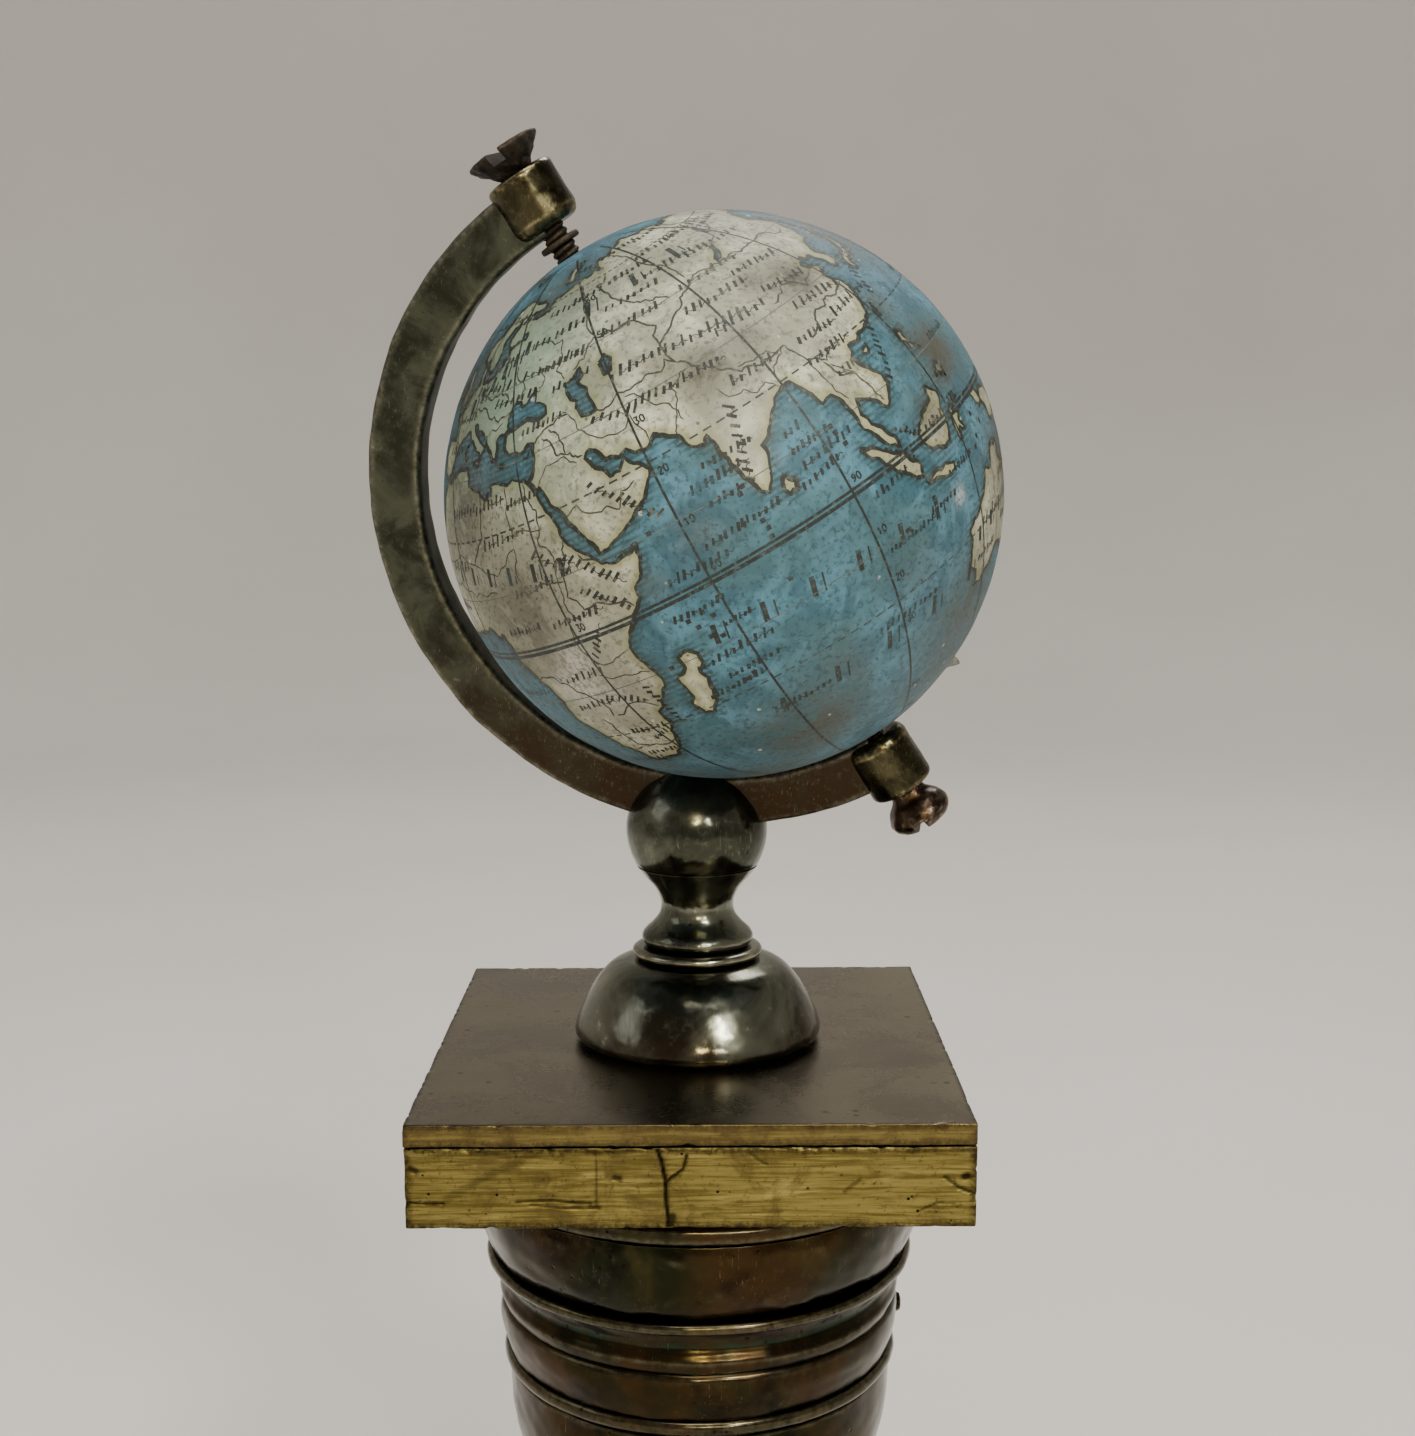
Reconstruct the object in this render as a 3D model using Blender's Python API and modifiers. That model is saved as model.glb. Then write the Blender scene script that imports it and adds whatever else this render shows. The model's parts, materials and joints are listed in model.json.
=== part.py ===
"""Miniature terrestrial globe in a brass arm, on a turned pillar, a square block and a turned column.

Metres, +Z up. The origin is on the column's axis, in the plane that the felt pad rests on.
The globe turns on two slotted pivot screws, and each screw turns in the boss that it threads through.
"""
import math

import bmesh
import bpy
from mathutils import Matrix, Vector

MM = 0.001

# Fits
GAP = 0.3 * MM              # between faces that touch, and round pins and rods in their holes
PIVOT_PLAY = 0.12 * MM      # radial play of a pivot screw's point in its bush

# Globe: a hollow moulded ball under a paper skin
GLOBE_RADIUS = 25.4 * MM
SKIN_THICKNESS = 0.35 * MM
CORE_WALL = 3.0 * MM
BUSH_WALL = 0.93 * MM
BUSH_LENGTH = 2.6 * MM

# Arm: a C of flat brass round the globe, its ends brazed to two drilled drums
ARM_CLEARANCE = 1.5 * MM    # arm's inner radius beyond the globe's
ARM_WIDTH = 5.0 * MM        # radially
ARM_DEPTH = 3.3 * MM        # across the arm's plane
ARM_EDGE = 0.5 * MM         # rounding of its long edges
GLOBE_DROP = 0.9 * MM       # globe centre below the arm's centre, along the globe's axis
GLOBE_SET_OUT = 1.3 * MM    # globe centre away from the middle of the C

# How the arm stands: turned about the pillar, leaning to the front, and its axis tilted in its plane
ARM_TURN = math.radians(-10.2)
ARM_LEAN = math.radians(12.9)
AXIS_TILT = math.radians(30.6)
ARM_SIDE_SHIFT = 2.4 * MM   # arm centre beside the pillar, in the arm's plane

# Pivot screws: radii beyond the shank's
SCREW_RADIUS = 1.15 * MM
SCREW_POINT_DEPTH = 2.2 * MM    # length of the screw's point inside the globe
NORTH_HEAD_STEP = 2.3 * MM
NORTH_HEAD_HEIGHT = 2.2 * MM
NORTH_HEAD_RIM = 0.25 * MM
NORTH_CONE_STEP = 0.9 * MM
SOUTH_HEAD_STEP = 1.95 * MM
SOUTH_HEAD_HEIGHT = 4.0 * MM
SOUTH_NECK_STEP = 0.4 * MM
SLOT_WIDTH = 1.2 * MM
SLOT_DEPTH = 1.1 * MM
WASHER_STEP = 0.75 * MM
WASHER_THICKNESS = 0.5 * MM
WASHER_LIFT = 1.2 * MM          # washer's underside above the globe

# Bosses, with distances along the axis from the arm's ends
BOSS_WALL = 2.0 * MM            # beyond the shank's radius
BOSS_EDGE = 0.6 * MM
BOSS_RISE_INSIDE = 0.5 * MM     # upper boss starts this far outside the arm's inner edge
BOSS_PROUD_NORTH = 0.8 * MM     # how far each boss stands past the arm's outer edge
BOSS_PROUD_SOUTH = 1.2 * MM

# Pillar, from the block's top upwards
DOME_RADIUS = 12.3 * MM
DOME_HEIGHT = 8.0 * MM
DOME_WALL = 1.6 * MM
COLLAR_STEP = 0.95 * MM         # beyond the bell's radius
COLLAR_HEIGHT = 0.8 * MM
NECK_RADIUS = 3.65 * MM
NECK_HEIGHT = 7.7 * MM
BELL_RADIUS = 5.5 * MM
KNOP_RADIUS = 6.95 * MM
KNOP_FOOT_INSET = 0.95 * MM
KNOP_LAP = 0.95 * MM            # knop's top past the arm's inner edge
KNOP_WEB = 1.7 * MM             # between the arm's slot and the tie rod's blind hole
PIN_RADIUS = 0.8 * MM
PIN_BACK_INSET = 1.55 * MM      # pin's ends inside the knop's radius, behind and before the arm
PIN_FRONT_INSET = 3.75 * MM

# Square block and its top plate
BLOCK_WIDTH = 50.0 * MM
BLOCK_DEPTH = 52.5 * MM
BLOCK_HEIGHT = 7.3 * MM
PLATE_HEIGHT = 1.9 * MM
BLOCK_SHIFT = -0.6 * MM         # block's middle beside the column's axis
BLOCK_EDGE = 0.25 * MM

# Capital: heights, and radii beyond the vase's
FILLET_HEIGHT = 3.0 * MM
FILLET_STEP = 3.6 * MM
BOWL_HEIGHT = 7.7 * MM
BOWL_STEP = 3.3 * MM
ARRIS_HEIGHT = 0.9 * MM
ARRIS_STEP = 2.2 * MM
WAIST_HEIGHT = 9.0 * MM
WAIST_STEP = 1.4 * MM
WAIST_GROOVE = 1.0 * MM
LOWER_RING_HEIGHT = 1.2 * MM
LOWER_RING_STEP = 0.6 * MM
CAPITAL_PIN_RADIUS = 1.0 * MM
CAPITAL_PIN_LENGTH = 3.6 * MM
CAPITAL_PIN_PROUD = 0.5 * MM
CAPITAL_PIN_RISE = 2.6 * MM     # pin's middle above the foot of the waist

# Column: vase, stem and base; the rings' radii are beyond the stem's
VASE_HEIGHT = 16.4 * MM
VASE_RADIUS = 19.4 * MM
VASE_STRAIGHT = 3.0 * MM        # upright part of the vase's side
STEM_RADIUS = 6.8 * MM
STEM_FLARE = 3.0 * MM
STEM_HEIGHT = 24.0 * MM
STEM_RING_HEIGHT = 3.0 * MM
STEM_RING_STEP = 4.4 * MM
BASE_RING_HEIGHT = 3.0 * MM
BASE_RING_STEP = 5.8 * MM
BASE_DOME_HEIGHT = 15.0 * MM
BASE_DOME_RADIUS = 26.0 * MM
BASE_RIM_HEIGHT = 5.0 * MM
BASE_RIM_STEP = 2.5 * MM        # beyond the base dome's radius
RING_INSET = 1.9 * MM           # a ring stands out this far past the pieces above and below it
FELT_HEIGHT = 1.2 * MM
FELT_INSET = 1.0 * MM
COLUMN_WALL = 3.2 * MM

# Tie rod, from inside the knop to a nut under the base
ROD_RADIUS = 1.6 * MM
ROD_PAST_NUT = 1.5 * MM
BASE_WEB = 3.0 * MM
NUT_WALL = 2.0 * MM
NUT_HEIGHT = 2.4 * MM
TIE_WASHER_STEP = 1.0 * MM      # beyond the nut's radius
TIE_WASHER_HEIGHT = 0.8 * MM

# Roundings of the thin rings
FINE_EDGE = 0.15 * MM
SMALL_EDGE = 0.3 * MM
RING_EDGE = 0.4 * MM
BEAD = 0.45                     # rounding of a beaded ring, as a share of its height

# Outlines of the swelling pieces, from the top down. Each knot is (share of the way from the inner
# radius to the outer one, share of the height).
DOME_OUTLINE = ((0.0, 1.0), (0.42, 0.9), (0.72, 0.58), (1.0, 0.14), (0.93, 0.0))
NECK_OUTLINE = ((0.43, 0.8), (0.0, 0.54), (0.46, 0.27), (1.0, 0.09), (1.0, 0.0))
BOWL_OUTLINE = ((0.7, 1.0), (1.0, 0.69), (0.7, 0.35), (0.0, 0.0))
WAIST_UPPER_OUTLINE = ((1.0, 1.0), (0.0, 0.8), (0.5, 0.62), (0.0, 0.5))
WAIST_LOWER_OUTLINE = ((0.5, 0.42), (0.2, 0.22), (-0.3, 0.0))
STEM_OUTLINE = ((0.4, 1.0), (0.0, 0.83), (0.27, 0.46), (0.87, 0.17), (1.0, 0.0))
BASE_OUTLINE = ((0.0, 1.0), (0.065, 0.7), (0.42, 0.43), (0.9, 0.21), (1.0, 0.0))
BASE_HOLLOW = ((1.0, 0.0), (0.55, 0.21), (0.0, 0.4))
SOUTH_HEAD_OUTLINE = ((0.6, 1.0), (0.9, 0.82), (1.0, 0.62), (0.88, 0.4), (0.5, 0.15))

ROUND_STEPS = 24
SMALL_STEPS = 20
PIN_STEPS = 12
ROD_STEPS = 16
GLOBE_STEPS = 36
ARM_STEPS = 60
SLOT_STEPS = 96

BORE_RADIUS = ROD_RADIUS + GAP
BUSH_RADIUS = SCREW_RADIUS + PIVOT_PLAY + BUSH_WALL
BOSS_RADIUS = SCREW_RADIUS + BOSS_WALL
ARM_INNER_RADIUS = GLOBE_RADIUS + ARM_CLEARANCE
ARM_OUTER_RADIUS = ARM_INNER_RADIUS + ARM_WIDTH
COLLAR_RADIUS = BELL_RADIUS + COLLAR_STEP
WAIST_RADIUS = VASE_RADIUS + WAIST_STEP
ARRIS_RADIUS = VASE_RADIUS + ARRIS_STEP
BOWL_RADIUS = VASE_RADIUS + BOWL_STEP
BASE_RIM_RADIUS = BASE_DOME_RADIUS + BASE_RIM_STEP
BASE_RING_RADIUS = STEM_RADIUS + BASE_RING_STEP
STEM_RING_RADIUS = STEM_RADIUS + STEM_RING_STEP
KNOP_FOOT_RADIUS = KNOP_RADIUS - KNOP_FOOT_INSET


def material(name, colour, roughness, metallic):
    """A plain Principled material."""
    made = bpy.data.materials.new(name)
    made.use_nodes = True
    shader = made.node_tree.nodes["Principled BSDF"]
    shader.inputs["Base Color"].default_value = (*colour, 1.0)
    shader.inputs["Roughness"].default_value = roughness
    shader.inputs["Metallic"].default_value = metallic
    return made


def place(thing, parent, matrix):
    """Parent an object and give it its place in the parent's frame."""
    thing.parent = parent
    thing.matrix_local = matrix
    return thing


def new_object(name, mesh, collection, finish=None, parent=None, matrix=Matrix()):
    thing = bpy.data.objects.new(name, mesh)
    collection.objects.link(thing)
    if finish:
        mesh.materials.append(finish)
    return place(thing, parent, matrix)


def outline(knots, inner, outer, foot, height):
    """(radius, height) points from knots given as shares of the way across and up."""
    return [(inner + across * (outer - inner), foot + up * height) for across, up in knots]


def curve_through(knots):
    """Points on a smooth curve through (radius, height) knots and once between each two."""
    padded = [knots[0], *knots, knots[-1]]
    points = []
    for before, start, end, after in zip(padded, padded[1:], padded[2:], padded[3:]):
        middle = tuple((9 * (b + c) - a - d) / 16 for a, b, c, d in zip(before, start, end, after))
        points += [start, middle]
    return [*points, knots[-1]]


def arc(centre, radii, first, last, steps):
    """Points of an ellipse from angle first to last, in degrees from +radius towards +height."""
    angles = [math.radians(first + (last - first) * step / steps) for step in range(steps + 1)]
    return [(centre[0] + radii[0] * math.cos(angle), centre[1] + radii[1] * math.sin(angle))
            for angle in angles]


def turned(name, profile, collection, finish=None, steps=ROUND_STEPS, bored=True, parent=None,
           matrix=Matrix()):
    """A piece turned about Z from (radius, height) points that run down its outer side.

    A bored profile closes on itself through the bore; a solid one starts and ends on the axis.
    """
    mesh = bpy.data.meshes.new(name)
    last = len(profile) - 1
    edges = [(index, index + 1) for index in range(last)]
    if bored:
        edges.append((last, 0))
    mesh.from_pydata([(radius, 0.0, height) for radius, height in profile], edges, [])
    thing = new_object(name, mesh, collection, finish, parent, matrix)
    screw = thing.modifiers.new("turn", "SCREW")
    screw.steps = steps
    screw.render_steps = steps
    screw.use_merge_vertices = True
    screw.merge_threshold = 1e-6
    screw.use_smooth_shade = True
    return thing


def ring_profile(radius, bore, low, high, round_off):
    """A ring with its two outer edges rounded off."""
    top = arc((radius - round_off, high - round_off), (round_off, round_off), 90, 0, 2)
    foot = arc((radius - round_off, low + round_off), (round_off, round_off), 0, -90, 2)
    return [(bore, high), *top, *foot, (bore, low)]


def box(name, size, collection, finish=None, parent=None, matrix=Matrix()):
    mesh = bpy.data.meshes.new(name)
    shape = bmesh.new()
    bmesh.ops.create_cube(shape, size=1.0, matrix=Matrix.Diagonal((*size, 1.0)))
    shape.to_mesh(mesh)
    shape.free()
    return new_object(name, mesh, collection, finish, parent, matrix)


def cylinder(name, radius, low, high, collection, finish=None, steps=SMALL_STEPS, parent=None,
             matrix=Matrix()):
    """A cylinder about Z from height low to high."""
    mesh = bpy.data.meshes.new(name)
    shape = bmesh.new()
    bmesh.ops.create_cone(shape, cap_ends=True, segments=steps, radius1=radius, radius2=radius,
                          depth=high - low, matrix=Matrix.Translation((0, 0, (low + high) / 2)))
    shape.to_mesh(mesh)
    shape.free()
    mesh.shade_smooth()
    mesh.set_sharp_from_angle(angle=math.radians(40))
    return new_object(name, mesh, collection, finish, parent, matrix)


def cut(thing, cutter):
    """Cut a cutter's shape out of a piece."""
    cutter.hide_render = True
    cutter.display_type = "WIRE"
    modifier = thing.modifiers.new("cut", "BOOLEAN")
    modifier.operation = "DIFFERENCE"
    modifier.object = cutter


def soften(thing, width):
    bevel = thing.modifiers.new("edges", "BEVEL")
    bevel.width = width
    bevel.segments = 1


def make_empty(name, collection, matrix):
    empty = bpy.data.objects.new(name, None)
    collection.objects.link(empty)
    return place(empty, None, matrix)


def stack_heights():
    """Underside height of every piece that stands on another, from the floor up."""
    heights = {}
    level = 0.0
    for name, height in (
            ("felt_pad", FELT_HEIGHT), ("base_rim", BASE_RIM_HEIGHT), ("base_dome", BASE_DOME_HEIGHT),
            ("base_ring", BASE_RING_HEIGHT), ("stem", STEM_HEIGHT), ("stem_ring", STEM_RING_HEIGHT),
            ("vase", VASE_HEIGHT), ("lower_ring", LOWER_RING_HEIGHT), ("waist", WAIST_HEIGHT),
            ("arris_ring", ARRIS_HEIGHT), ("capital_bowl", BOWL_HEIGHT),
            ("capital_fillet", FILLET_HEIGHT), ("block", BLOCK_HEIGHT), ("block_plate", PLATE_HEIGHT),
            ("dome_foot", DOME_HEIGHT), ("collar_ring", COLLAR_HEIGHT), ("pillar_neck", NECK_HEIGHT)):
        heights[name] = level
        level += height + GAP
    heights["knop"] = level
    return heights


def make_base(parts, finishes, low):
    """Felt pad, rim, domed base and the ring on it."""
    felt_radius = BASE_RIM_RADIUS - FELT_INSET
    turned("felt_pad", [(0.0, low["felt_pad"] + FELT_HEIGHT), (felt_radius, low["felt_pad"] + FELT_HEIGHT),
                        (felt_radius, low["felt_pad"]), (0.0, low["felt_pad"])],
           parts, finishes["felt"], bored=False)
    rim_bore = BASE_DOME_RADIUS - COLUMN_WALL
    turned("base_rim", ring_profile(BASE_RIM_RADIUS, rim_bore, low["base_rim"],
                                    low["base_rim"] + BASE_RIM_HEIGHT, BASE_RIM_HEIGHT * BEAD),
           parts, finishes["bronze"])
    foot = low["base_dome"]
    top = foot + BASE_DOME_HEIGHT
    shoulder = BASE_RING_RADIUS - RING_INSET
    side = curve_through(outline(BASE_OUTLINE, shoulder, BASE_DOME_RADIUS, foot, BASE_DOME_HEIGHT))
    hollow = outline(BASE_HOLLOW, shoulder - COLUMN_WALL, rim_bore, foot, BASE_DOME_HEIGHT)
    turned("base_dome", [(BORE_RADIUS, top), *side, *hollow, (shoulder - COLUMN_WALL, top - BASE_WEB),
                         (BORE_RADIUS, top - BASE_WEB)], parts, finishes["bronze"])
    turned("base_ring", ring_profile(BASE_RING_RADIUS, BORE_RADIUS, low["base_ring"],
                                     low["base_ring"] + BASE_RING_HEIGHT, BASE_RING_HEIGHT * BEAD),
           parts, finishes["bronze"])


def make_stem(parts, finishes, low):
    """Slender stem, the ring over it and the vase that carries the capital."""
    foot = low["stem"]
    side = curve_through(outline(STEM_OUTLINE, STEM_RADIUS, STEM_RADIUS + STEM_FLARE, foot, STEM_HEIGHT))
    turned("stem", [(BORE_RADIUS, foot + STEM_HEIGHT), *side, (BORE_RADIUS, foot)], parts,
           finishes["bronze"])
    turned("stem_ring", ring_profile(STEM_RING_RADIUS, BORE_RADIUS, low["stem_ring"],
                                     low["stem_ring"] + STEM_RING_HEIGHT, STEM_RING_HEIGHT * BEAD),
           parts, finishes["bronze"])
    foot = low["vase"]
    top = foot + VASE_HEIGHT
    neck = STEM_RING_RADIUS - RING_INSET
    belly = top - VASE_STRAIGHT
    side = arc((neck, belly), (VASE_RADIUS - neck, belly - foot), 0, -90, 5)
    hollow = arc((neck - COLUMN_WALL, belly),
                 (VASE_RADIUS - neck, belly - foot - COLUMN_WALL), -90, 0, 4)
    turned("vase", [(VASE_RADIUS - COLUMN_WALL, top), (VASE_RADIUS, top), *side,
                    (BORE_RADIUS, foot), (BORE_RADIUS, foot + COLUMN_WALL), *hollow],
           parts, finishes["bronze"])


def make_capital(parts, cutters, finishes, low):
    """Lower ring, waist with its pin, arris ring, bowl and fillet."""
    bore = VASE_RADIUS - COLUMN_WALL
    turned("lower_ring", ring_profile(VASE_RADIUS + LOWER_RING_STEP, bore, low["lower_ring"],
                                      low["lower_ring"] + LOWER_RING_HEIGHT, RING_EDGE),
           parts, finishes["bronze"])
    foot = low["waist"]
    groove = WAIST_RADIUS - WAIST_GROOVE
    side = [point for knots in (WAIST_UPPER_OUTLINE, WAIST_LOWER_OUTLINE)
            for point in curve_through(outline(knots, groove, WAIST_RADIUS, foot, WAIST_HEIGHT))]
    waist = turned("waist", [(bore, foot + WAIST_HEIGHT), *side, (bore, foot)], parts,
                   finishes["bronze"])
    pin_end = groove + WAIST_GROOVE / 2 + CAPITAL_PIN_PROUD
    pin_foot = pin_end - CAPITAL_PIN_LENGTH
    across = Matrix.Translation((0, 0, foot + CAPITAL_PIN_RISE)) @ Matrix.Rotation(math.pi / 2, 4, "Y")
    cut(waist, cylinder("capital_pin_hole", CAPITAL_PIN_RADIUS + GAP, pin_foot - COLUMN_WALL,
                        WAIST_RADIUS + COLUMN_WALL, cutters, steps=PIN_STEPS, matrix=across))
    dome = arc((CAPITAL_PIN_RADIUS - RING_EDGE, pin_end - RING_EDGE), (RING_EDGE, RING_EDGE), 90, 0, 2)
    turned("capital_pin", [(0.0, pin_end), *dome, (CAPITAL_PIN_RADIUS, pin_foot), (0.0, pin_foot)],
           parts, finishes["bronze"], steps=PIN_STEPS, bored=False, matrix=across)
    turned("arris_ring", ring_profile(ARRIS_RADIUS, bore, low["arris_ring"],
                                      low["arris_ring"] + ARRIS_HEIGHT, RING_EDGE),
           parts, finishes["bronze"])
    foot = low["capital_bowl"]
    side = curve_through(outline(BOWL_OUTLINE, ARRIS_RADIUS - RING_EDGE, BOWL_RADIUS, foot, BOWL_HEIGHT))
    turned("capital_bowl", [(bore, foot + BOWL_HEIGHT), *side, (bore, foot)], parts, finishes["bronze"])
    turned("capital_fillet", ring_profile(VASE_RADIUS + FILLET_STEP, bore, low["capital_fillet"],
                                          low["capital_fillet"] + FILLET_HEIGHT, RING_EDGE),
           parts, finishes["bronze"])


def make_block(parts, finishes, low, rod_hole):
    """Square block and the thin plate on it."""
    for name, height, finish in (("block", BLOCK_HEIGHT, "gilt"), ("block_plate", PLATE_HEIGHT, "plate")):
        middle = Matrix.Translation((BLOCK_SHIFT, 0, low[name] + height / 2))
        slab = box(name, (BLOCK_WIDTH, BLOCK_DEPTH, height), parts, finishes[finish], matrix=middle)
        soften(slab, BLOCK_EDGE)
        cut(slab, rod_hole)


def make_pillar(parts, finishes, low, knop_centre, blind):
    """Domed foot, collar ring, waisted neck and the ball that holds the arm."""
    foot = low["dome_foot"]
    top = foot + DOME_HEIGHT
    side = outline(DOME_OUTLINE, COLLAR_RADIUS - SMALL_EDGE, DOME_RADIUS, foot, DOME_HEIGHT)
    hollow = [(side[-1][0] - DOME_WALL, foot), (side[2][0] - DOME_WALL, side[2][1] - DOME_WALL),
              (COLLAR_RADIUS, side[1][1] - DOME_WALL), (BORE_RADIUS, side[1][1] - DOME_WALL)]
    turned("dome_foot", [(BORE_RADIUS, top), *curve_through(side), *hollow], parts, finishes["pillar"])
    turned("collar_ring", ring_profile(COLLAR_RADIUS, BORE_RADIUS, low["collar_ring"],
                                       low["collar_ring"] + COLLAR_HEIGHT, SMALL_EDGE),
           parts, finishes["pillar"], steps=SMALL_STEPS)
    foot = low["pillar_neck"]
    top = foot + NECK_HEIGHT
    side = curve_through([(KNOP_FOOT_RADIUS - SMALL_EDGE, top),
                          *outline(NECK_OUTLINE, NECK_RADIUS, BELL_RADIUS, foot, NECK_HEIGHT)])
    turned("pillar_neck", [(BORE_RADIUS, top), *side, (BORE_RADIUS, foot)], parts, finishes["pillar"],
           steps=SMALL_STEPS)
    foot = low["knop"]
    lowest = math.degrees(math.asin((foot - knop_centre.z) / KNOP_RADIUS))
    ball = arc((0.0, knop_centre.z), (KNOP_RADIUS, KNOP_RADIUS), 90, lowest, 9)
    return turned("knop", [*ball, (BORE_RADIUS, foot), (BORE_RADIUS, blind), (0.0, blind)],
                  parts, finishes["pillar"], bored=False)


def make_tie_rod(parts, cutters, finishes, low, blind):
    """Rod through the whole stand, with its washer and nut in the hollow of the base."""
    web = low["base_dome"] + BASE_DOME_HEIGHT - BASE_WEB
    washer_foot = web - GAP - TIE_WASHER_HEIGHT
    nut_foot = washer_foot - GAP - NUT_HEIGHT
    nut_radius = ROD_RADIUS + NUT_WALL
    rod_foot = nut_foot - ROD_PAST_NUT
    cylinder("tie_rod", ROD_RADIUS, rod_foot, blind - GAP, parts, finishes["steel"], steps=ROD_STEPS)
    turned("tie_washer", ring_profile(nut_radius + TIE_WASHER_STEP, BORE_RADIUS, washer_foot,
                                      washer_foot + TIE_WASHER_HEIGHT, FINE_EDGE),
           parts, finishes["steel"], steps=SMALL_STEPS)
    nut = cylinder("tie_nut", nut_radius, nut_foot, nut_foot + NUT_HEIGHT, parts, finishes["steel"],
                   steps=6)
    hole = cylinder("rod_hole", BORE_RADIUS, rod_foot, blind, cutters, steps=ROD_STEPS)
    cut(nut, hole)
    return hole


def ball_shell(outer, inner, hole, steps):
    """Outline of a hollow ball with a hole of that radius at each pole."""
    edge = math.degrees(math.acos(hole / outer))
    inner_edge = math.degrees(math.acos(hole / inner))
    return [*arc((0, 0), (outer, outer), edge, -edge, steps),
            *arc((0, 0), (inner, inner), -inner_edge, inner_edge, steps)]


def make_globe(parts, finishes, axis):
    """Paper skin, moulded core and the two brass bushes at its poles."""
    hole = BUSH_RADIUS + GAP
    skin_inside = GLOBE_RADIUS - SKIN_THICKNESS
    turned("map_skin", ball_shell(GLOBE_RADIUS, skin_inside, hole, 16), parts, finishes["paper"],
           steps=GLOBE_STEPS, parent=axis)
    core_radius = skin_inside - GAP
    turned("globe_core", ball_shell(core_radius, core_radius - CORE_WALL, hole, 10), parts,
           finishes["plaster"], parent=axis)
    bore = SCREW_RADIUS + PIVOT_PLAY
    top = math.sqrt(GLOBE_RADIUS ** 2 - BUSH_RADIUS ** 2)
    for name, side in (("north_bush", 1), ("south_bush", -1)):
        ends = sorted((side * top, side * (top - BUSH_LENGTH)))
        turned(name, [(bore, ends[1]), (BUSH_RADIUS, ends[1]), (BUSH_RADIUS, ends[0]), (bore, ends[0])],
               parts, finishes["brass"], steps=SMALL_STEPS, parent=axis)


def make_arm(parts, cutters, finishes, arm_frame, axis, knop, knop_centre):
    """C-shaped arm in the knop's slot, its pin, and the seats for the two bosses at its ends."""
    lay_flat = Matrix.Rotation(math.pi / 2, 4, "X")
    half = ARM_DEPTH / 2
    edge = ARM_EDGE
    side = [(ARM_INNER_RADIUS, half - edge), (ARM_INNER_RADIUS + edge, half),
            (ARM_OUTER_RADIUS - edge, half), (ARM_OUTER_RADIUS, half - edge),
            (ARM_OUTER_RADIUS, edge - half), (ARM_OUTER_RADIUS - edge, -half),
            (ARM_INNER_RADIUS + edge, -half), (ARM_INNER_RADIUS, edge - half)]
    arm = turned("meridian_arm", side, parts, finishes["arm"], steps=ARM_STEPS, parent=arm_frame,
                 matrix=lay_flat)
    reach = 2 * ARM_OUTER_RADIUS
    cut(arm, box("arm_opening", (reach, reach, 2 * reach), cutters, parent=arm_frame,
                 matrix=Matrix.Translation((-GLOBE_SET_OUT - reach / 2, 0, 0))))
    cut(arm, cylinder("boss_seat", BOSS_RADIUS + GAP, -reach, reach, cutters, steps=ROUND_STEPS,
                      parent=axis))
    cut(knop, cylinder("arm_slot", ARM_OUTER_RADIUS + GAP, -half - GAP, half + GAP, cutters,
                       steps=SLOT_STEPS, parent=arm_frame, matrix=lay_flat))
    seat = arm_frame.matrix_world.inverted() @ knop_centre
    seat.normalize()
    pin_place = Matrix.Translation(seat * (ARM_INNER_RADIUS + ARM_WIDTH / 2)) @ lay_flat
    pin_front = PIN_FRONT_INSET - KNOP_RADIUS
    pin_hole = cylinder("pin_hole", PIN_RADIUS + GAP, pin_front - GAP, 2 * KNOP_RADIUS, cutters,
                        steps=PIN_STEPS, parent=arm_frame, matrix=pin_place)
    cut(knop, pin_hole)
    cut(arm, pin_hole)
    cylinder("arm_pin", PIN_RADIUS, pin_front, KNOP_RADIUS - PIN_BACK_INSET, parts, finishes["brass"],
             steps=PIN_STEPS, parent=arm_frame, matrix=pin_place)


def boss_ends():
    """Each boss's ends along the axis, from the globe's centre outwards."""
    north = GLOBE_DROP + ARM_INNER_RADIUS
    south = ARM_INNER_RADIUS - GLOBE_DROP
    return {"north": (north + BOSS_RISE_INSIDE, north + ARM_WIDTH + BOSS_PROUD_NORTH),
            "south": (south + GAP, south + ARM_WIDTH + BOSS_PROUD_SOUTH)}


def boss_profile(inside, outside):
    """A drilled drum with both its outer edges rounded."""
    middle = BOSS_RADIUS - BOSS_EDGE
    rounding = (BOSS_EDGE, BOSS_EDGE)
    bore = SCREW_RADIUS + GAP
    return [(bore, outside), *arc((middle, outside - BOSS_EDGE), rounding, 90, 0, 2),
            *arc((middle, inside + BOSS_EDGE), rounding, 0, -90, 2), (bore, inside)]


def head_profile(pole, under_head):
    """Countersunk head of the upper screw, or bell-shaped head of the lower one, and its end face."""
    if pole == "north":
        radius = SCREW_RADIUS + NORTH_HEAD_STEP
        face = under_head + NORTH_HEAD_HEIGHT
        return face, [(0.0, face), (radius - SMALL_EDGE, face), (radius, face - NORTH_HEAD_RIM),
                      (SCREW_RADIUS + NORTH_CONE_STEP, under_head)]
    face = under_head + SOUTH_HEAD_HEIGHT
    bell = outline(SOUTH_HEAD_OUTLINE, 0.0, SCREW_RADIUS + SOUTH_HEAD_STEP, under_head, SOUTH_HEAD_HEIGHT)
    return face, [(0.0, face), *bell, (SCREW_RADIUS + SOUTH_NECK_STEP, under_head)]


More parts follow.
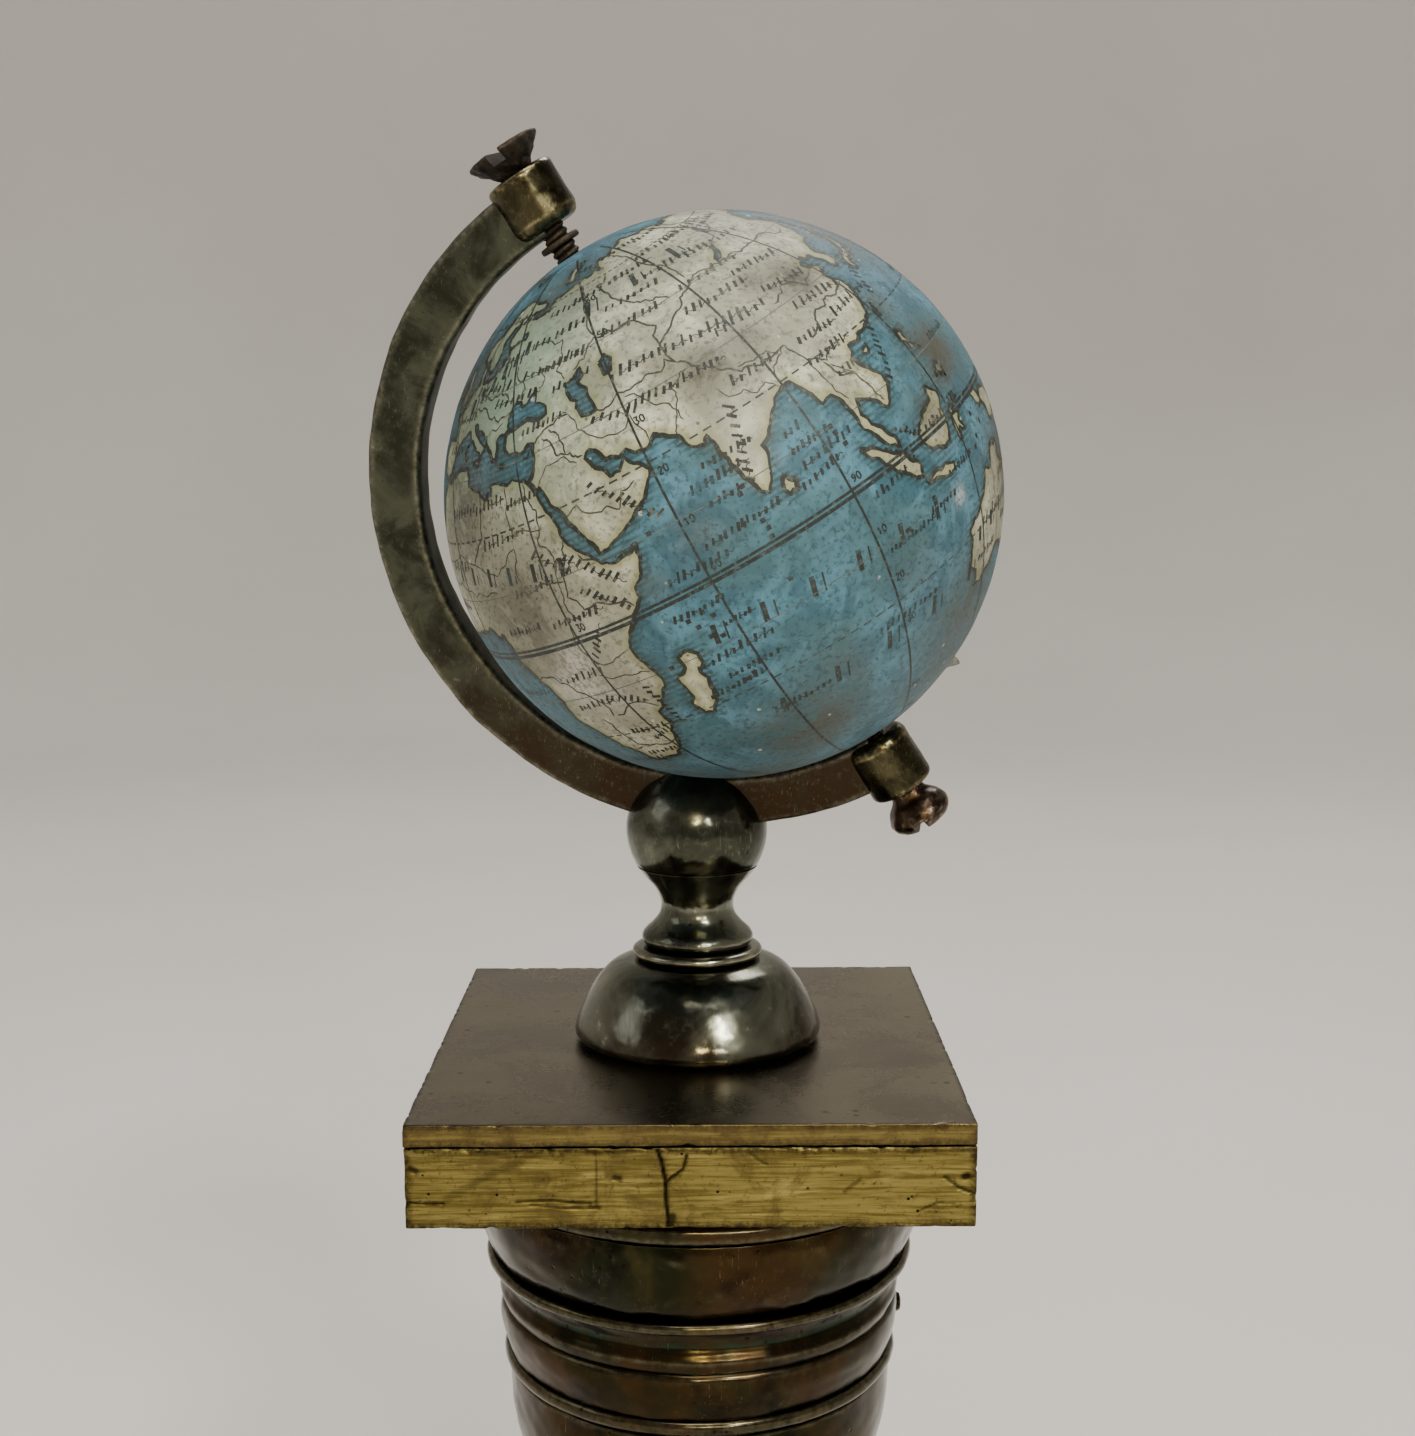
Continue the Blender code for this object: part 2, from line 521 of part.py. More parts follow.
def make_pivots(parts, cutters, finishes, axis):
    """Bosses, pivot screws and the loose washer, along the globe's axis."""
    flip = {"north": Matrix(), "south": Matrix.Rotation(math.pi, 4, "X")}
    point = GLOBE_RADIUS - SCREW_POINT_DEPTH
    for pole, (inside, outside) in boss_ends().items():
        turned(f"{pole}_boss", boss_profile(inside, outside), parts, finishes["arm"], parent=axis,
               matrix=flip[pole])
        under_head = outside + GAP
        face, head = head_profile(pole, under_head)
        shank = [(SCREW_RADIUS, under_head), (SCREW_RADIUS, point + SCREW_RADIUS), (0.0, point)]
        screw = turned(f"{pole}_screw", [*head, *shank], parts, finishes[f"{pole}_screw"],
                       steps=SMALL_STEPS, bored=False, parent=axis, matrix=flip[pole])
        cut(screw, box(f"{pole}_slot", (SLOT_WIDTH, 4 * BOSS_RADIUS, 2 * SLOT_DEPTH), cutters,
                       parent=axis, matrix=flip[pole] @ Matrix.Translation((0, 0, face))))
    washer_foot = GLOBE_RADIUS + WASHER_LIFT
    turned("north_washer", ring_profile(SCREW_RADIUS + WASHER_STEP, SCREW_RADIUS + GAP, washer_foot,
                                        washer_foot + WASHER_THICKNESS, FINE_EDGE),
           parts, finishes["north_screw"], steps=SMALL_STEPS, parent=axis)


def main():
    for thing in list(bpy.data.objects):
        bpy.data.objects.remove(thing)
    parts = bpy.data.collections.new("miniature_globe")
    cutters = bpy.data.collections.new("cutters")
    for collection in (parts, cutters):
        bpy.context.scene.collection.children.link(collection)
    finishes = {
        "paper": material("map_paper", (0.24, 0.36, 0.38), 0.6, 0.0),
        "plaster": material("plaster", (0.72, 0.68, 0.58), 0.9, 0.0),
        "brass": material("brass", (0.55, 0.42, 0.16), 0.4, 1.0),
        "arm": material("arm_brass", (0.17, 0.14, 0.07), 0.5, 1.0),
        "pillar": material("pillar_brass", (0.2, 0.17, 0.09), 0.3, 1.0),
        "plate": material("plate_brass", (0.2, 0.14, 0.08), 0.35, 1.0),
        "gilt": material("brushed_brass", (0.45, 0.33, 0.09), 0.45, 1.0),
        "bronze": material("column_bronze", (0.13, 0.085, 0.045), 0.3, 1.0),
        "north_screw": material("rusty_steel", (0.06, 0.035, 0.025), 0.7, 0.8),
        "south_screw": material("copper_screw", (0.2, 0.11, 0.07), 0.3, 1.0),
        "steel": material("steel", (0.35, 0.35, 0.34), 0.4, 1.0),
        "felt": material("felt", (0.03, 0.06, 0.04), 0.95, 0.0),
    }
    low = stack_heights()
    knop_drop = math.sqrt(KNOP_RADIUS ** 2 - KNOP_FOOT_RADIUS ** 2)
    knop_centre = Vector((0, 0, low["knop"] + knop_drop))
    lean = Matrix.Rotation(ARM_TURN, 4, "Z") @ Matrix.Rotation(ARM_LEAN, 4, "X")
    tilt = lean @ Matrix.Rotation(-AXIS_TILT, 4, "Y") @ Matrix.Rotation(math.pi, 4, "Z")
    rise = ARM_INNER_RADIUS + KNOP_RADIUS - KNOP_LAP
    arm_centre = knop_centre + lean @ Vector((ARM_SIDE_SHIFT, 0, rise))
    globe_centre = arm_centre - tilt @ Vector((GLOBE_SET_OUT, 0, GLOBE_DROP))
    arm_frame = make_empty("arm_frame", parts, Matrix.Translation(arm_centre) @ tilt)
    axis = make_empty("globe_axis", parts, Matrix.Translation(globe_centre) @ tilt)
    bpy.context.view_layer.update()
    slot_floor = knop_centre.z + rise - ARM_OUTER_RADIUS - GAP
    blind = slot_floor - KNOP_WEB

    make_base(parts, finishes, low)
    make_stem(parts, finishes, low)
    make_capital(parts, cutters, finishes, low)
    rod_hole = make_tie_rod(parts, cutters, finishes, low, blind)
    make_block(parts, finishes, low, rod_hole)
    knop = make_pillar(parts, finishes, low, knop_centre, blind)
    make_arm(parts, cutters, finishes, arm_frame, axis, knop, knop_centre)
    make_pivots(parts, cutters, finishes, axis)
    make_globe(parts, finishes, axis)


main()
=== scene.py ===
import json
import math
import random

import bmesh
import bpy
import numpy as np
from mathutils import Matrix, Vector, kdtree


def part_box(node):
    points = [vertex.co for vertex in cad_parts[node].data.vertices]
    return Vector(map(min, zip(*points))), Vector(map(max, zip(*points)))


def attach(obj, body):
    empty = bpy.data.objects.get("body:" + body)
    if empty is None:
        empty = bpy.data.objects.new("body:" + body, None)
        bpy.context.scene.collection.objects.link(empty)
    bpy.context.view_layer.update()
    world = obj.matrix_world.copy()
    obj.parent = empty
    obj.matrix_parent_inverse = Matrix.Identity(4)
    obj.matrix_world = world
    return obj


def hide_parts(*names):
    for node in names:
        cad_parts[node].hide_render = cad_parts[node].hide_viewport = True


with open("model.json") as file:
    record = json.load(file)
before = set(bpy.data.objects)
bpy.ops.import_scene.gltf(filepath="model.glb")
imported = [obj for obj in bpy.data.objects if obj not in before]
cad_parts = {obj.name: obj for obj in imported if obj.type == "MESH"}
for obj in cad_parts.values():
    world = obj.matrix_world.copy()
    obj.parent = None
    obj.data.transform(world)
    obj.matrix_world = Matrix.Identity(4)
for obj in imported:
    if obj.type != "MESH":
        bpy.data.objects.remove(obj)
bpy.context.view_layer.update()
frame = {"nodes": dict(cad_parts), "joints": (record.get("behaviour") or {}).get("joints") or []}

MM = 0.001

# Where things are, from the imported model: the globe's pivot line and the arm's plane
SPIN = frame["joints"][0]
GLOBE_CENTRE = Vector(SPIN["pos_m"])
ARM_TURN = math.radians(-10.2)
ARM_LEAN = math.radians(12.9)
AXIS_TILT = math.radians(30.6)
TURN = (Matrix.Rotation(ARM_TURN, 4, "Z") @ Matrix.Rotation(ARM_LEAN, 4, "X")
        @ Matrix.Rotation(-AXIS_TILT, 4, "Y") @ Matrix.Rotation(math.pi, 4, "Z"))
GLOBE_FRAME = Matrix.Translation(GLOBE_CENTRE) @ TURN
SOUTH_FRAME = GLOBE_FRAME @ Matrix.Rotation(math.pi, 4, "X")
GLOBE_SET_OUT = 1.3
GLOBE_DROP = 0.9
ARM_FRAME = GLOBE_FRAME @ Matrix.Translation((GLOBE_SET_OUT * MM, 0, GLOBE_DROP * MM))
ARM_INNER = 26.9
ARM_OUTER = 31.9
ARM_HALF = 1.65

GLOBE_RADIUS = 25.4
BUSH_RADIUS = 2.2
SHANK_RADIUS = 1.15
BOSS_RADIUS = 3.15
KNOP_RADIUS = 6.95
KNOP_SEAT = 6.0
SLOT_GAP = 0.07
ROD_BORE = 1.9
CAPITAL_BORE = 16.2

# How far turned pieces run on over the seams of the CAD, and how deep a crack is cut
SEAM = 0.12
CRACK_DEPTH = 0.1
BALL_ROWS = 230
BALL_COLUMNS = 440

# The printed map sits a few degrees off the pivots: where its north pole and its first meridian are
MAP_SLIP = Matrix.Rotation(math.radians(36.3), 3, Vector((-0.132, -0.068, 0.989)))
HATCH_STEP = 1.15


# ---------------------------------------------------------------- shapes

def lumps(points, size, seed):
    """Smooth pseudo-random unevenness, about -1 to 1, with bumps about that size in millimetres."""
    source = np.random.default_rng(seed)
    total = np.zeros(len(points))
    for _ in range(14):
        direction = source.normal(size=3)
        direction *= 2 * math.pi / (size * np.linalg.norm(direction)) * source.uniform(0.6, 1.7)
        total += np.sin(points @ direction + source.uniform(0, 2 * math.pi))
    return total / 4.5


def spline(knots, pieces=8):
    """Points on a smooth curve through knots, ends included."""
    knots = [np.array(knot, float) for knot in knots]
    padded = [knots[0], *knots, knots[-1]]
    points = []
    for a, b, c, d in zip(padded, padded[1:], padded[2:], padded[3:]):
        for t in np.arange(pieces) / pieces:
            points.append(0.5 * (2 * b + (c - a) * t + (2 * a - 5 * b + 4 * c - d) * t ** 2
                                 + (3 * b - a - 3 * c + d) * t ** 3))
    return [*points, knots[-1]]


def arc(centre, radii, first, last, steps):
    angles = np.radians(np.linspace(first, last, steps + 1))
    return [np.array((centre[0] + radii[0] * math.cos(t),
                      centre[1] + radii[1] * math.sin(t))) for t in angles]


def rounded(points, radius, sharp=25, steps=3):
    """The same line with each corner sharper than that many degrees rounded off."""
    points = [np.array(point, float) for point in points]
    result = [points[0]]
    for before, here, after in zip(points, points[1:], points[2:]):
        back, on = before - here, after - here
        lengths = np.linalg.norm(back), np.linalg.norm(on)
        if min(lengths) < 1e-6:
            continue
        back, on = back / lengths[0], on / lengths[1]
        turn = 180 - math.degrees(math.acos(np.clip(back @ on, -1, 1)))
        if turn < sharp:
            result.append(here)
            continue
        reach = min(radius, 0.45 * min(lengths))
        start, end = here + back * reach, here + on * reach
        for t in np.linspace(0, 1, steps + 1):
            result.append((1 - t) ** 2 * start + 2 * t * (1 - t) * here + t ** 2 * end)
    return [*result, points[-1]]


def divided(points, spacing):
    """The same line with no step longer than the spacing."""
    result = [points[0]]
    for start, end in zip(points, points[1:]):
        count = max(1, math.ceil(np.linalg.norm(end - start) / spacing))
        result += [start + (end - start) * step / count for step in range(1, count + 1)]
    return result


def edge_wear(mesh):
    """Stores how far each point stands out as 'edge', and how far it lies in as 'hollow'."""
    count = len(mesh.vertices)
    points = np.zeros(count * 3)
    mesh.vertices.foreach_get("co", points)
    points = points.reshape(-1, 3)
    normals = np.zeros(count * 3)
    mesh.vertex_normals.foreach_get("vector", normals)
    normals = normals.reshape(-1, 3)
    pairs = np.zeros(len(mesh.edges) * 2, int)
    mesh.edges.foreach_get("vertices", pairs)
    pairs = pairs.reshape(-1, 2)
    bend = np.zeros(count)
    ties = np.zeros(count)
    for here, there in (pairs.T, pairs.T[::-1]):
        away = points[there] - points[here]
        slope = np.einsum("ij,ij->i", away, normals[here]) / (np.linalg.norm(away, axis=1) + 1e-9)
        np.add.at(bend, here, -slope)
        np.add.at(ties, here, 1)
    bend /= np.maximum(ties, 1)
    for _ in range(2):
        spread = np.zeros(count)
        np.add.at(spread, pairs[:, 0], bend[pairs[:, 1]])
        np.add.at(spread, pairs[:, 1], bend[pairs[:, 0]])
        bend = 0.5 * bend + 0.5 * spread / np.maximum(ties, 1)
    for name, value in (("edge", bend), ("hollow", -bend)):
        store(mesh, name, np.clip(value * 6, 0, 1))


def store(mesh, name, values):
    attribute = mesh.attributes.get(name) or mesh.attributes.new(name, "FLOAT", "POINT")
    attribute.data.foreach_set("value", np.asarray(values, np.float32))


def piece(name, points, faces, body, finish, nodes=(), matrix=None, wear=True):
    """A finished piece: points in millimetres, placed by the matrix, riding on a body."""
    mesh = bpy.data.meshes.new(name)
    mesh.from_pydata((np.asarray(points) * MM).tolist(), [], faces)
    mesh.validate()
    if matrix is not None:
        mesh.transform(matrix)
    shape = bmesh.new()
    shape.from_mesh(mesh)
    bmesh.ops.recalc_face_normals(shape, faces=shape.faces)
    shape.to_mesh(mesh)
    shape.free()
    mesh.shade_smooth()
    if wear:
        edge_wear(mesh)
    thing = bpy.data.objects.new(name, mesh)
    bpy.context.scene.collection.objects.link(thing)
    mesh.materials.append(finish)
    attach(thing, body)
    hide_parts(*nodes)
    return thing


def weld(thing):
    """Joins points that lie in the same place."""
    shape = bmesh.new()
    shape.from_mesh(thing.data)
    bmesh.ops.remove_doubles(shape, verts=shape.verts, dist=0.004 * MM)
    bmesh.ops.recalc_face_normals(shape, faces=shape.faces)
    shape.to_mesh(thing.data)
    shape.free()
    edge_wear(thing.data)


def net(rows, wrap_across, wrap_along):
    """Points and quads of a net from an array of rows of points."""
    along, across = rows.shape[:2]
    faces = []
    for i in range(along if wrap_along else along - 1):
        for j in range(across if wrap_across else across - 1):
            k, m = (i + 1) % along, (j + 1) % across
            faces.append((i * across + j, i * across + m, k * across + m, k * across + j))
    return rows.reshape(-1, 3), faces


def turned(name, side, bore, body, finish, slot, nodes=(), matrix=None, steps=144, spacing=0.5,
           corner=0.12, dents=0.03, dent_size=6.0, seed=1):
    """A turned piece from the (radius, height) points of its outer side, top first, in millimetres."""
    top, foot = side[0][1], side[-1][1]
    line = rounded([(bore, top), *side, (bore, foot)], corner)
    line = np.array(divided(line, spacing))
    angles = np.linspace(0, 2 * math.pi, steps, endpoint=False)
    rows = np.stack([np.outer(np.cos(angles), line[:, 0]), np.outer(np.sin(angles), line[:, 0]),
                     np.tile(line[:, 1], (steps, 1))], -1)
    flat = rows.reshape(-1, 3)
    out = np.hypot(flat[:, 0], flat[:, 1])[:, None]
    push = dents * lumps(flat, dent_size, seed) + dents * 0.4 * lumps(flat, dent_size / 4, seed + 1)
    flat = flat + push[:, None] * np.c_[flat[:, :2], np.zeros(len(flat))] / np.maximum(out, 1e-6)
    points, faces = net(flat.reshape(rows.shape), bore > 0, True)
    made = piece(name, points, faces, body, finish, nodes, matrix)
    if not bore:
        weld(made)
    return made


def carve(thing, cutter):
    """Cuts the cutter's shape out of a piece for good."""
    modifier = thing.modifiers.new("cut", "BOOLEAN")
    modifier.operation = "DIFFERENCE"
    modifier.solver = "EXACT"
    modifier.object = cutter
    bpy.context.view_layer.update()
    graph = bpy.context.evaluated_depsgraph_get()
    mesh = bpy.data.meshes.new_from_object(thing.evaluated_get(graph))
    thing.modifiers.remove(modifier)
    thing.data = mesh
    mesh.set_sharp_from_angle(angle=math.radians(50))
    bpy.data.objects.remove(cutter)


def cutter_box(size, matrix):
    """A cutting block, in millimetres, placed by the matrix."""
    shape = bmesh.new()
    bmesh.ops.create_cube(shape, size=1.0,
                          matrix=matrix @ Matrix.Diagonal((*(side * MM for side in size), 1)))
    mesh = bpy.data.meshes.new("cutter")
    shape.to_mesh(mesh)
    shape.free()
    thing = bpy.data.objects.new("cutter", mesh)
    bpy.context.scene.collection.objects.link(thing)
    return thing


# ---------------------------------------------------------------- materials

class Finish:
    """A Principled material and short names for the nodes that it is built from.

    Noise works in millimetres, on each piece's own coordinates.
    """

    def __init__(self, name, roughness=0.5, metallic=0.0, **values):
        self.material = bpy.data.materials.new(name)
        self.material.use_nodes = True
        self.tree = self.material.node_tree
        self.shader = self.tree.nodes["Principled BSDF"]
        self.shader.inputs["Roughness"].default_value = roughness
        self.shader.inputs["Metallic"].default_value = metallic
        for socket, value in values.items():
            self.shader.inputs[socket.replace("_", " ")].default_value = value
        self.place = self.node("ShaderNodeTexCoord").outputs["Object"]

    def node(self, kind, inputs=None, **settings):
        made = self.tree.nodes.new(kind)
        for key, value in settings.items():
            setattr(made, key, value)
        for key, value in (inputs or {}).items():
            self.feed(made.inputs[key], value)
        return made

    def feed(self, socket, value):
        if isinstance(value, bpy.types.NodeSocket):
            self.tree.links.new(value, socket)
        elif isinstance(value, tuple) and len(value) == 3 and len(socket.default_value) == 4:
            socket.default_value = (*value, 1.0)
        else:
            socket.default_value = value

    def math(self, operation, first, second=0.0, third=0.0, clamp=False):
        made = self.node("ShaderNodeMath", {0: first, 1: second, 2: third}, operation=operation)
        made.use_clamp = clamp
        return made.outputs[0]

    def scaled(self, stretch=(1, 1, 1), turn=(0, 0, 0)):
        """Coordinates in millimetres, divided by the stretch along each axis."""
        return self.node("ShaderNodeMapping", {"Vector": self.place, "Rotation": turn,
                         "Scale": tuple(1000 / side for side in stretch)}).outputs[0]

    def noise(self, size, detail=4.0, rough=0.55, distortion=0.0, stretch=(1, 1, 1), turn=(0, 0, 0)):
        vector = self.scaled(tuple(size * side for side in stretch), turn)
        return self.node("ShaderNodeTexNoise", {"Vector": vector, "Scale": 1.0, "Detail": detail,
                         "Roughness": rough, "Distortion": distortion}).outputs["Fac"]

    def cells(self, size, feature="F1", randomness=1.0):
        return self.node("ShaderNodeTexVoronoi", {"Vector": self.scaled((size,) * 3), "Scale": 1.0,
                         "Randomness": randomness}, feature=feature).outputs["Distance"]

    def band(self, value, low, high, to_low=0.0, to_high=1.0):
        """Smooth step of a value from low to high."""
        return self.node("ShaderNodeMapRange", {0: value, 1: low, 2: high, 3: to_low, 4: to_high},
                         interpolation_type="SMOOTHSTEP").outputs[0]

    def mix(self, share, first, second, blend="MIX"):
        made = self.node("ShaderNodeMix", data_type="RGBA", blend_type=blend)
        for index, value in ((0, share), (6, first), (7, second)):
            self.feed(made.inputs[index], value)
        return made.outputs[2]

    def read(self, name):
        return self.node("ShaderNodeAttribute", attribute_name=name).outputs["Fac"]

    def bump(self, height, distance, strength=1.0, under=None):
        """Relief of a height from 0 to 1, that many millimetres deep."""
        inputs = {"Height": height, "Distance": distance * MM, "Strength": strength}
        if under is not None:
            inputs["Normal"] = under
        return self.node("ShaderNodeBump", inputs).outputs[0]

    def done(self, colour, roughness=None, metallic=None, normal=None):
        for name, value in (("Base Color", colour), ("Roughness", roughness), ("Metallic", metallic),
                            ("Normal", normal)):
            if value is not None:
                self.feed(self.shader.inputs[name], value)
        return self.material


def scratches(finish, size, thickness, seed_turn, amount):
    """Fine straight marks in one direction: 1 on a mark, 0 elsewhere."""
    streak = finish.noise(size, 2.0, 0.5, 0.0, (thickness, thickness, 14.0), seed_turn)
    where = finish.noise(size * 9, 2.0)
    mark = finish.band(streak, 0.66, 0.71)
    return finish.math("MULTIPLY", mark, finish.band(where, 0.5, 0.62, 0.0, amount))


def old_brass(name, dark, middle, bright, rough=(0.28, 0.5), grain=2.6, warm=None, worn=0.55, pits=0.5,
              metallic=1.0):
    """Handled brass under patina: mottled tone, rubbed edges, grime in hollows, fine scratches and pits."""
    finish = Finish(name, metallic=metallic)
    broad = finish.noise(grain * 2.2, 5.0, 0.62, 0.6)
    fine = finish.noise(grain * 0.34, 6.0, 0.68)
    colour = finish.mix(finish.band(broad, 0.34, 0.66), dark, middle)
    if warm is not None:
        tone, low, high = warm
        height = finish.node("ShaderNodeSeparateXYZ", {0: finish.place}).outputs[2]
        uneven = finish.math("MULTIPLY_ADD", broad, 0.012, height)
        colour = finish.mix(finish.band(uneven, high, low), colour, tone)
    colour = finish.mix(finish.band(fine, 0.52, 0.72, 0.0, 0.5), colour, middle)
    speck = finish.math("MULTIPLY", finish.band(fine, 0.6, 0.7), finish.band(broad, 0.5, 0.6))
    colour = finish.mix(finish.math("MULTIPLY", speck, worn), colour, bright)
    rubbed = finish.math("MULTIPLY", finish.band(finish.read("edge"), 0.12, 0.5),
                         finish.band(fine, 0.4, 0.62, 0.25, 1.0))
    colour = finish.mix(finish.math("MULTIPLY", rubbed, worn), colour, bright)
    grime = finish.band(finish.read("hollow"), 0.1, 0.45, 0.0, 0.8)
    colour = finish.mix(grime, colour, tuple(part * 0.25 for part in dark))
    pit = finish.math("MULTIPLY", finish.band(finish.cells(grain * 0.5), 0.13, 0.06),
                      finish.band(finish.noise(grain * 1.7, 2.0), 0.55, 0.62))
    colour = finish.mix(finish.math("MULTIPLY", pit, pits), colour, tuple(part * 0.2 for part in dark))
    mark = finish.math("ADD", scratches(finish, 0.7, 0.16, (0.5, 0.3, 0.1), 0.6),
                       scratches(finish, 0.8, 0.15, (1.9, 0.7, 1.1), 0.5), clamp=True)
    colour = finish.mix(finish.math("MULTIPLY", mark, 0.35), colour, bright)
    roughness = finish.math("MULTIPLY_ADD", fine, 0.14, finish.band(broad, 0.3, 0.7, rough[0], rough[1]))
    roughness = finish.math("ADD", roughness, finish.math("MULTIPLY", grime, 0.3), clamp=True)
    relief = finish.math("ADD", finish.math("MULTIPLY", fine, 0.5), finish.math("MULTIPLY", broad, 0.5))
    relief = finish.math("SUBTRACT", relief, finish.math("ADD", finish.math("MULTIPLY", mark, 0.2), pit))
    return finish.done(colour, roughness, None, finish.bump(relief, 0.05, 0.6))


def make_finishes():
    finishes = {
        "arm": old_brass("arm_brass", (0.028, 0.030, 0.020), (0.088, 0.092, 0.064), (0.5, 0.47, 0.34),
                         (0.34, 0.5), 2.2, ((0.045, 0.027, 0.015), 0.128, 0.152), 0.28),
        "boss": old_brass("boss_brass", (0.022, 0.019, 0.01), (0.085, 0.075, 0.04), (0.8, 0.68, 0.36),
                          (0.14, 0.28), 2.4, None, 0.3),
        "pillar": old_brass("pillar_brass", (0.044, 0.046, 0.033), (0.185, 0.19, 0.145), (0.75, 0.68, 0.46),
                            (0.07, 0.16), 4.2, ((0.05, 0.032, 0.017), 0.105, 0.115), 0.3, 0.6),
        "column": column_finish(),
        "rust": old_brass("rusty_steel", (0.011, 0.009, 0.007), (0.038, 0.028, 0.02), (0.2, 0.15, 0.1),
                          (0.42, 0.65), 0.9, None, 0.25, 1.0, 0.7),
        "copper": old_brass("copper_screw", (0.022, 0.014, 0.009), (0.075, 0.046, 0.03), (0.75, 0.6, 0.45),
                            (0.16, 0.3), 1.4, None, 0.3, 0.6),
        "bush": old_brass("bush_brass", (0.10, 0.07, 0.025), (0.32, 0.24, 0.09), (0.8, 0.7, 0.4),
                          (0.3, 0.5), 1.4, None, 0.6),
        "steel": old_brass("tie_steel", (0.12, 0.12, 0.12), (0.34, 0.34, 0.33), (0.7, 0.7, 0.7),
                           (0.3, 0.5), 1.8, None, 0.4),
    }
    finishes["plate"] = plate_finish()
    finishes["gilt"] = gilt_finish()
    finishes["felt"] = felt_finish()
    finishes["core"] = core_finish()
    finishes["paper"] = paper_finish()
    finishes["ink"] = ink_finish()
    finishes["torn"] = torn_finish()
    return finishes


def column_finish():
    """Lacquered bronze: warm brown, olive and near-black clouds, green tarnish in the hollows, worn edges."""
    finish = Finish("column_bronze", metallic=1.0)
    broad = finish.noise(18.0, 4.0, 0.58, 0.5)
    cloud = finish.noise(10.0, 5.0, 0.6, 0.6)
    fine = finish.noise(0.8, 6.0, 0.7)
    colour = finish.mix(finish.band(broad, 0.38, 0.62), (0.016, 0.018, 0.008), (0.045, 0.024, 0.009))
    colour = finish.mix(finish.band(cloud, 0.48, 0.68, 0.0, 0.9), colour, (0.009, 0.008, 0.006))
    colour = finish.mix(finish.band(finish.noise(8.0, 4.0, 0.6, 0.4), 0.52, 0.68, 0.0, 0.55), colour,
                        (0.05, 0.042, 0.015))
    colour = finish.mix(finish.band(fine, 0.56, 0.72, 0.0, 0.45), colour, (0.075, 0.055, 0.026))
    tarnish = finish.math("MULTIPLY", finish.band(finish.read("hollow"), 0.04, 0.3),
                          finish.band(cloud, 0.35, 0.55))
    colour = finish.mix(finish.math("MULTIPLY", tarnish, 0.75), colour, (0.02, 0.045, 0.03))
    rubbed = finish.math("MULTIPLY", finish.band(finish.read("edge"), 0.1, 0.5),
                         finish.band(fine, 0.36, 0.6, 0.2, 0.8))
    colour = finish.mix(rubbed, colour, (0.13, 0.115, 0.07))
    pit = finish.math("MULTIPLY", finish.band(finish.cells(1.6), 0.16, 0.07),
                      finish.band(cloud, 0.46, 0.56))
    colour = finish.mix(finish.math("MULTIPLY", pit, 0.85), colour, (0.006, 0.005, 0.004))
    mark = scratches(finish, 0.8, 0.14, (1.5, 0.2, 0.9), 0.7)
    colour = finish.mix(finish.math("MULTIPLY", mark, 0.3), colour, (0.5, 0.4, 0.26))
    roughness = finish.math("MULTIPLY_ADD", fine, 0.16, finish.band(broad, 0.35, 0.65, 0.06, 0.16))
    relief = finish.math("SUBTRACT", finish.math("MULTIPLY_ADD", fine, 0.4,
                                                 finish.math("MULTIPLY", cloud, 0.6)), pit)
    return finish.done(colour, roughness, None, finish.bump(relief, 0.05, 0.55))


def brushed_yellow(finish, dull):
    """Colour and brush marks of yellow brass, brushed lengthways and blotched with old lacquer."""
    brush = finish.noise(0.3, 5.0, 0.65, 0.15, (24.0, 24.0, 1.0))
    wide = finish.noise(1.1, 4.0, 0.6, 0.3, (10.0, 10.0, 1.0))
    broad = finish.noise(5.0, 5.0, 0.66, 1.0)
    fine = finish.noise(0.5, 5.0, 0.7, 0.4)
    colour = finish.mix(finish.band(brush, 0.36, 0.64), (0.115, 0.088, 0.022), (0.26, 0.208, 0.062))
    colour = finish.mix(finish.band(wide, 0.55, 0.72, 0.0, 0.5), colour, (0.52, 0.42, 0.14))
    colour = finish.mix(finish.band(broad, 0.46, 0.66, 0.0, dull), colour, (0.085, 0.06, 0.02))
    colour = finish.mix(finish.band(fine, 0.56, 0.68, 0.0, 0.6), colour, (0.05, 0.035, 0.012))
    rim = finish.math("MULTIPLY", finish.band(finish.read("rim"), 0.2, 0.9),
                      finish.band(fine, 0.38, 0.6, 0.4, 1.0))
    return finish.mix(finish.math("MULTIPLY", rim, 0.9), colour, (0.022, 0.016, 0.008)), brush


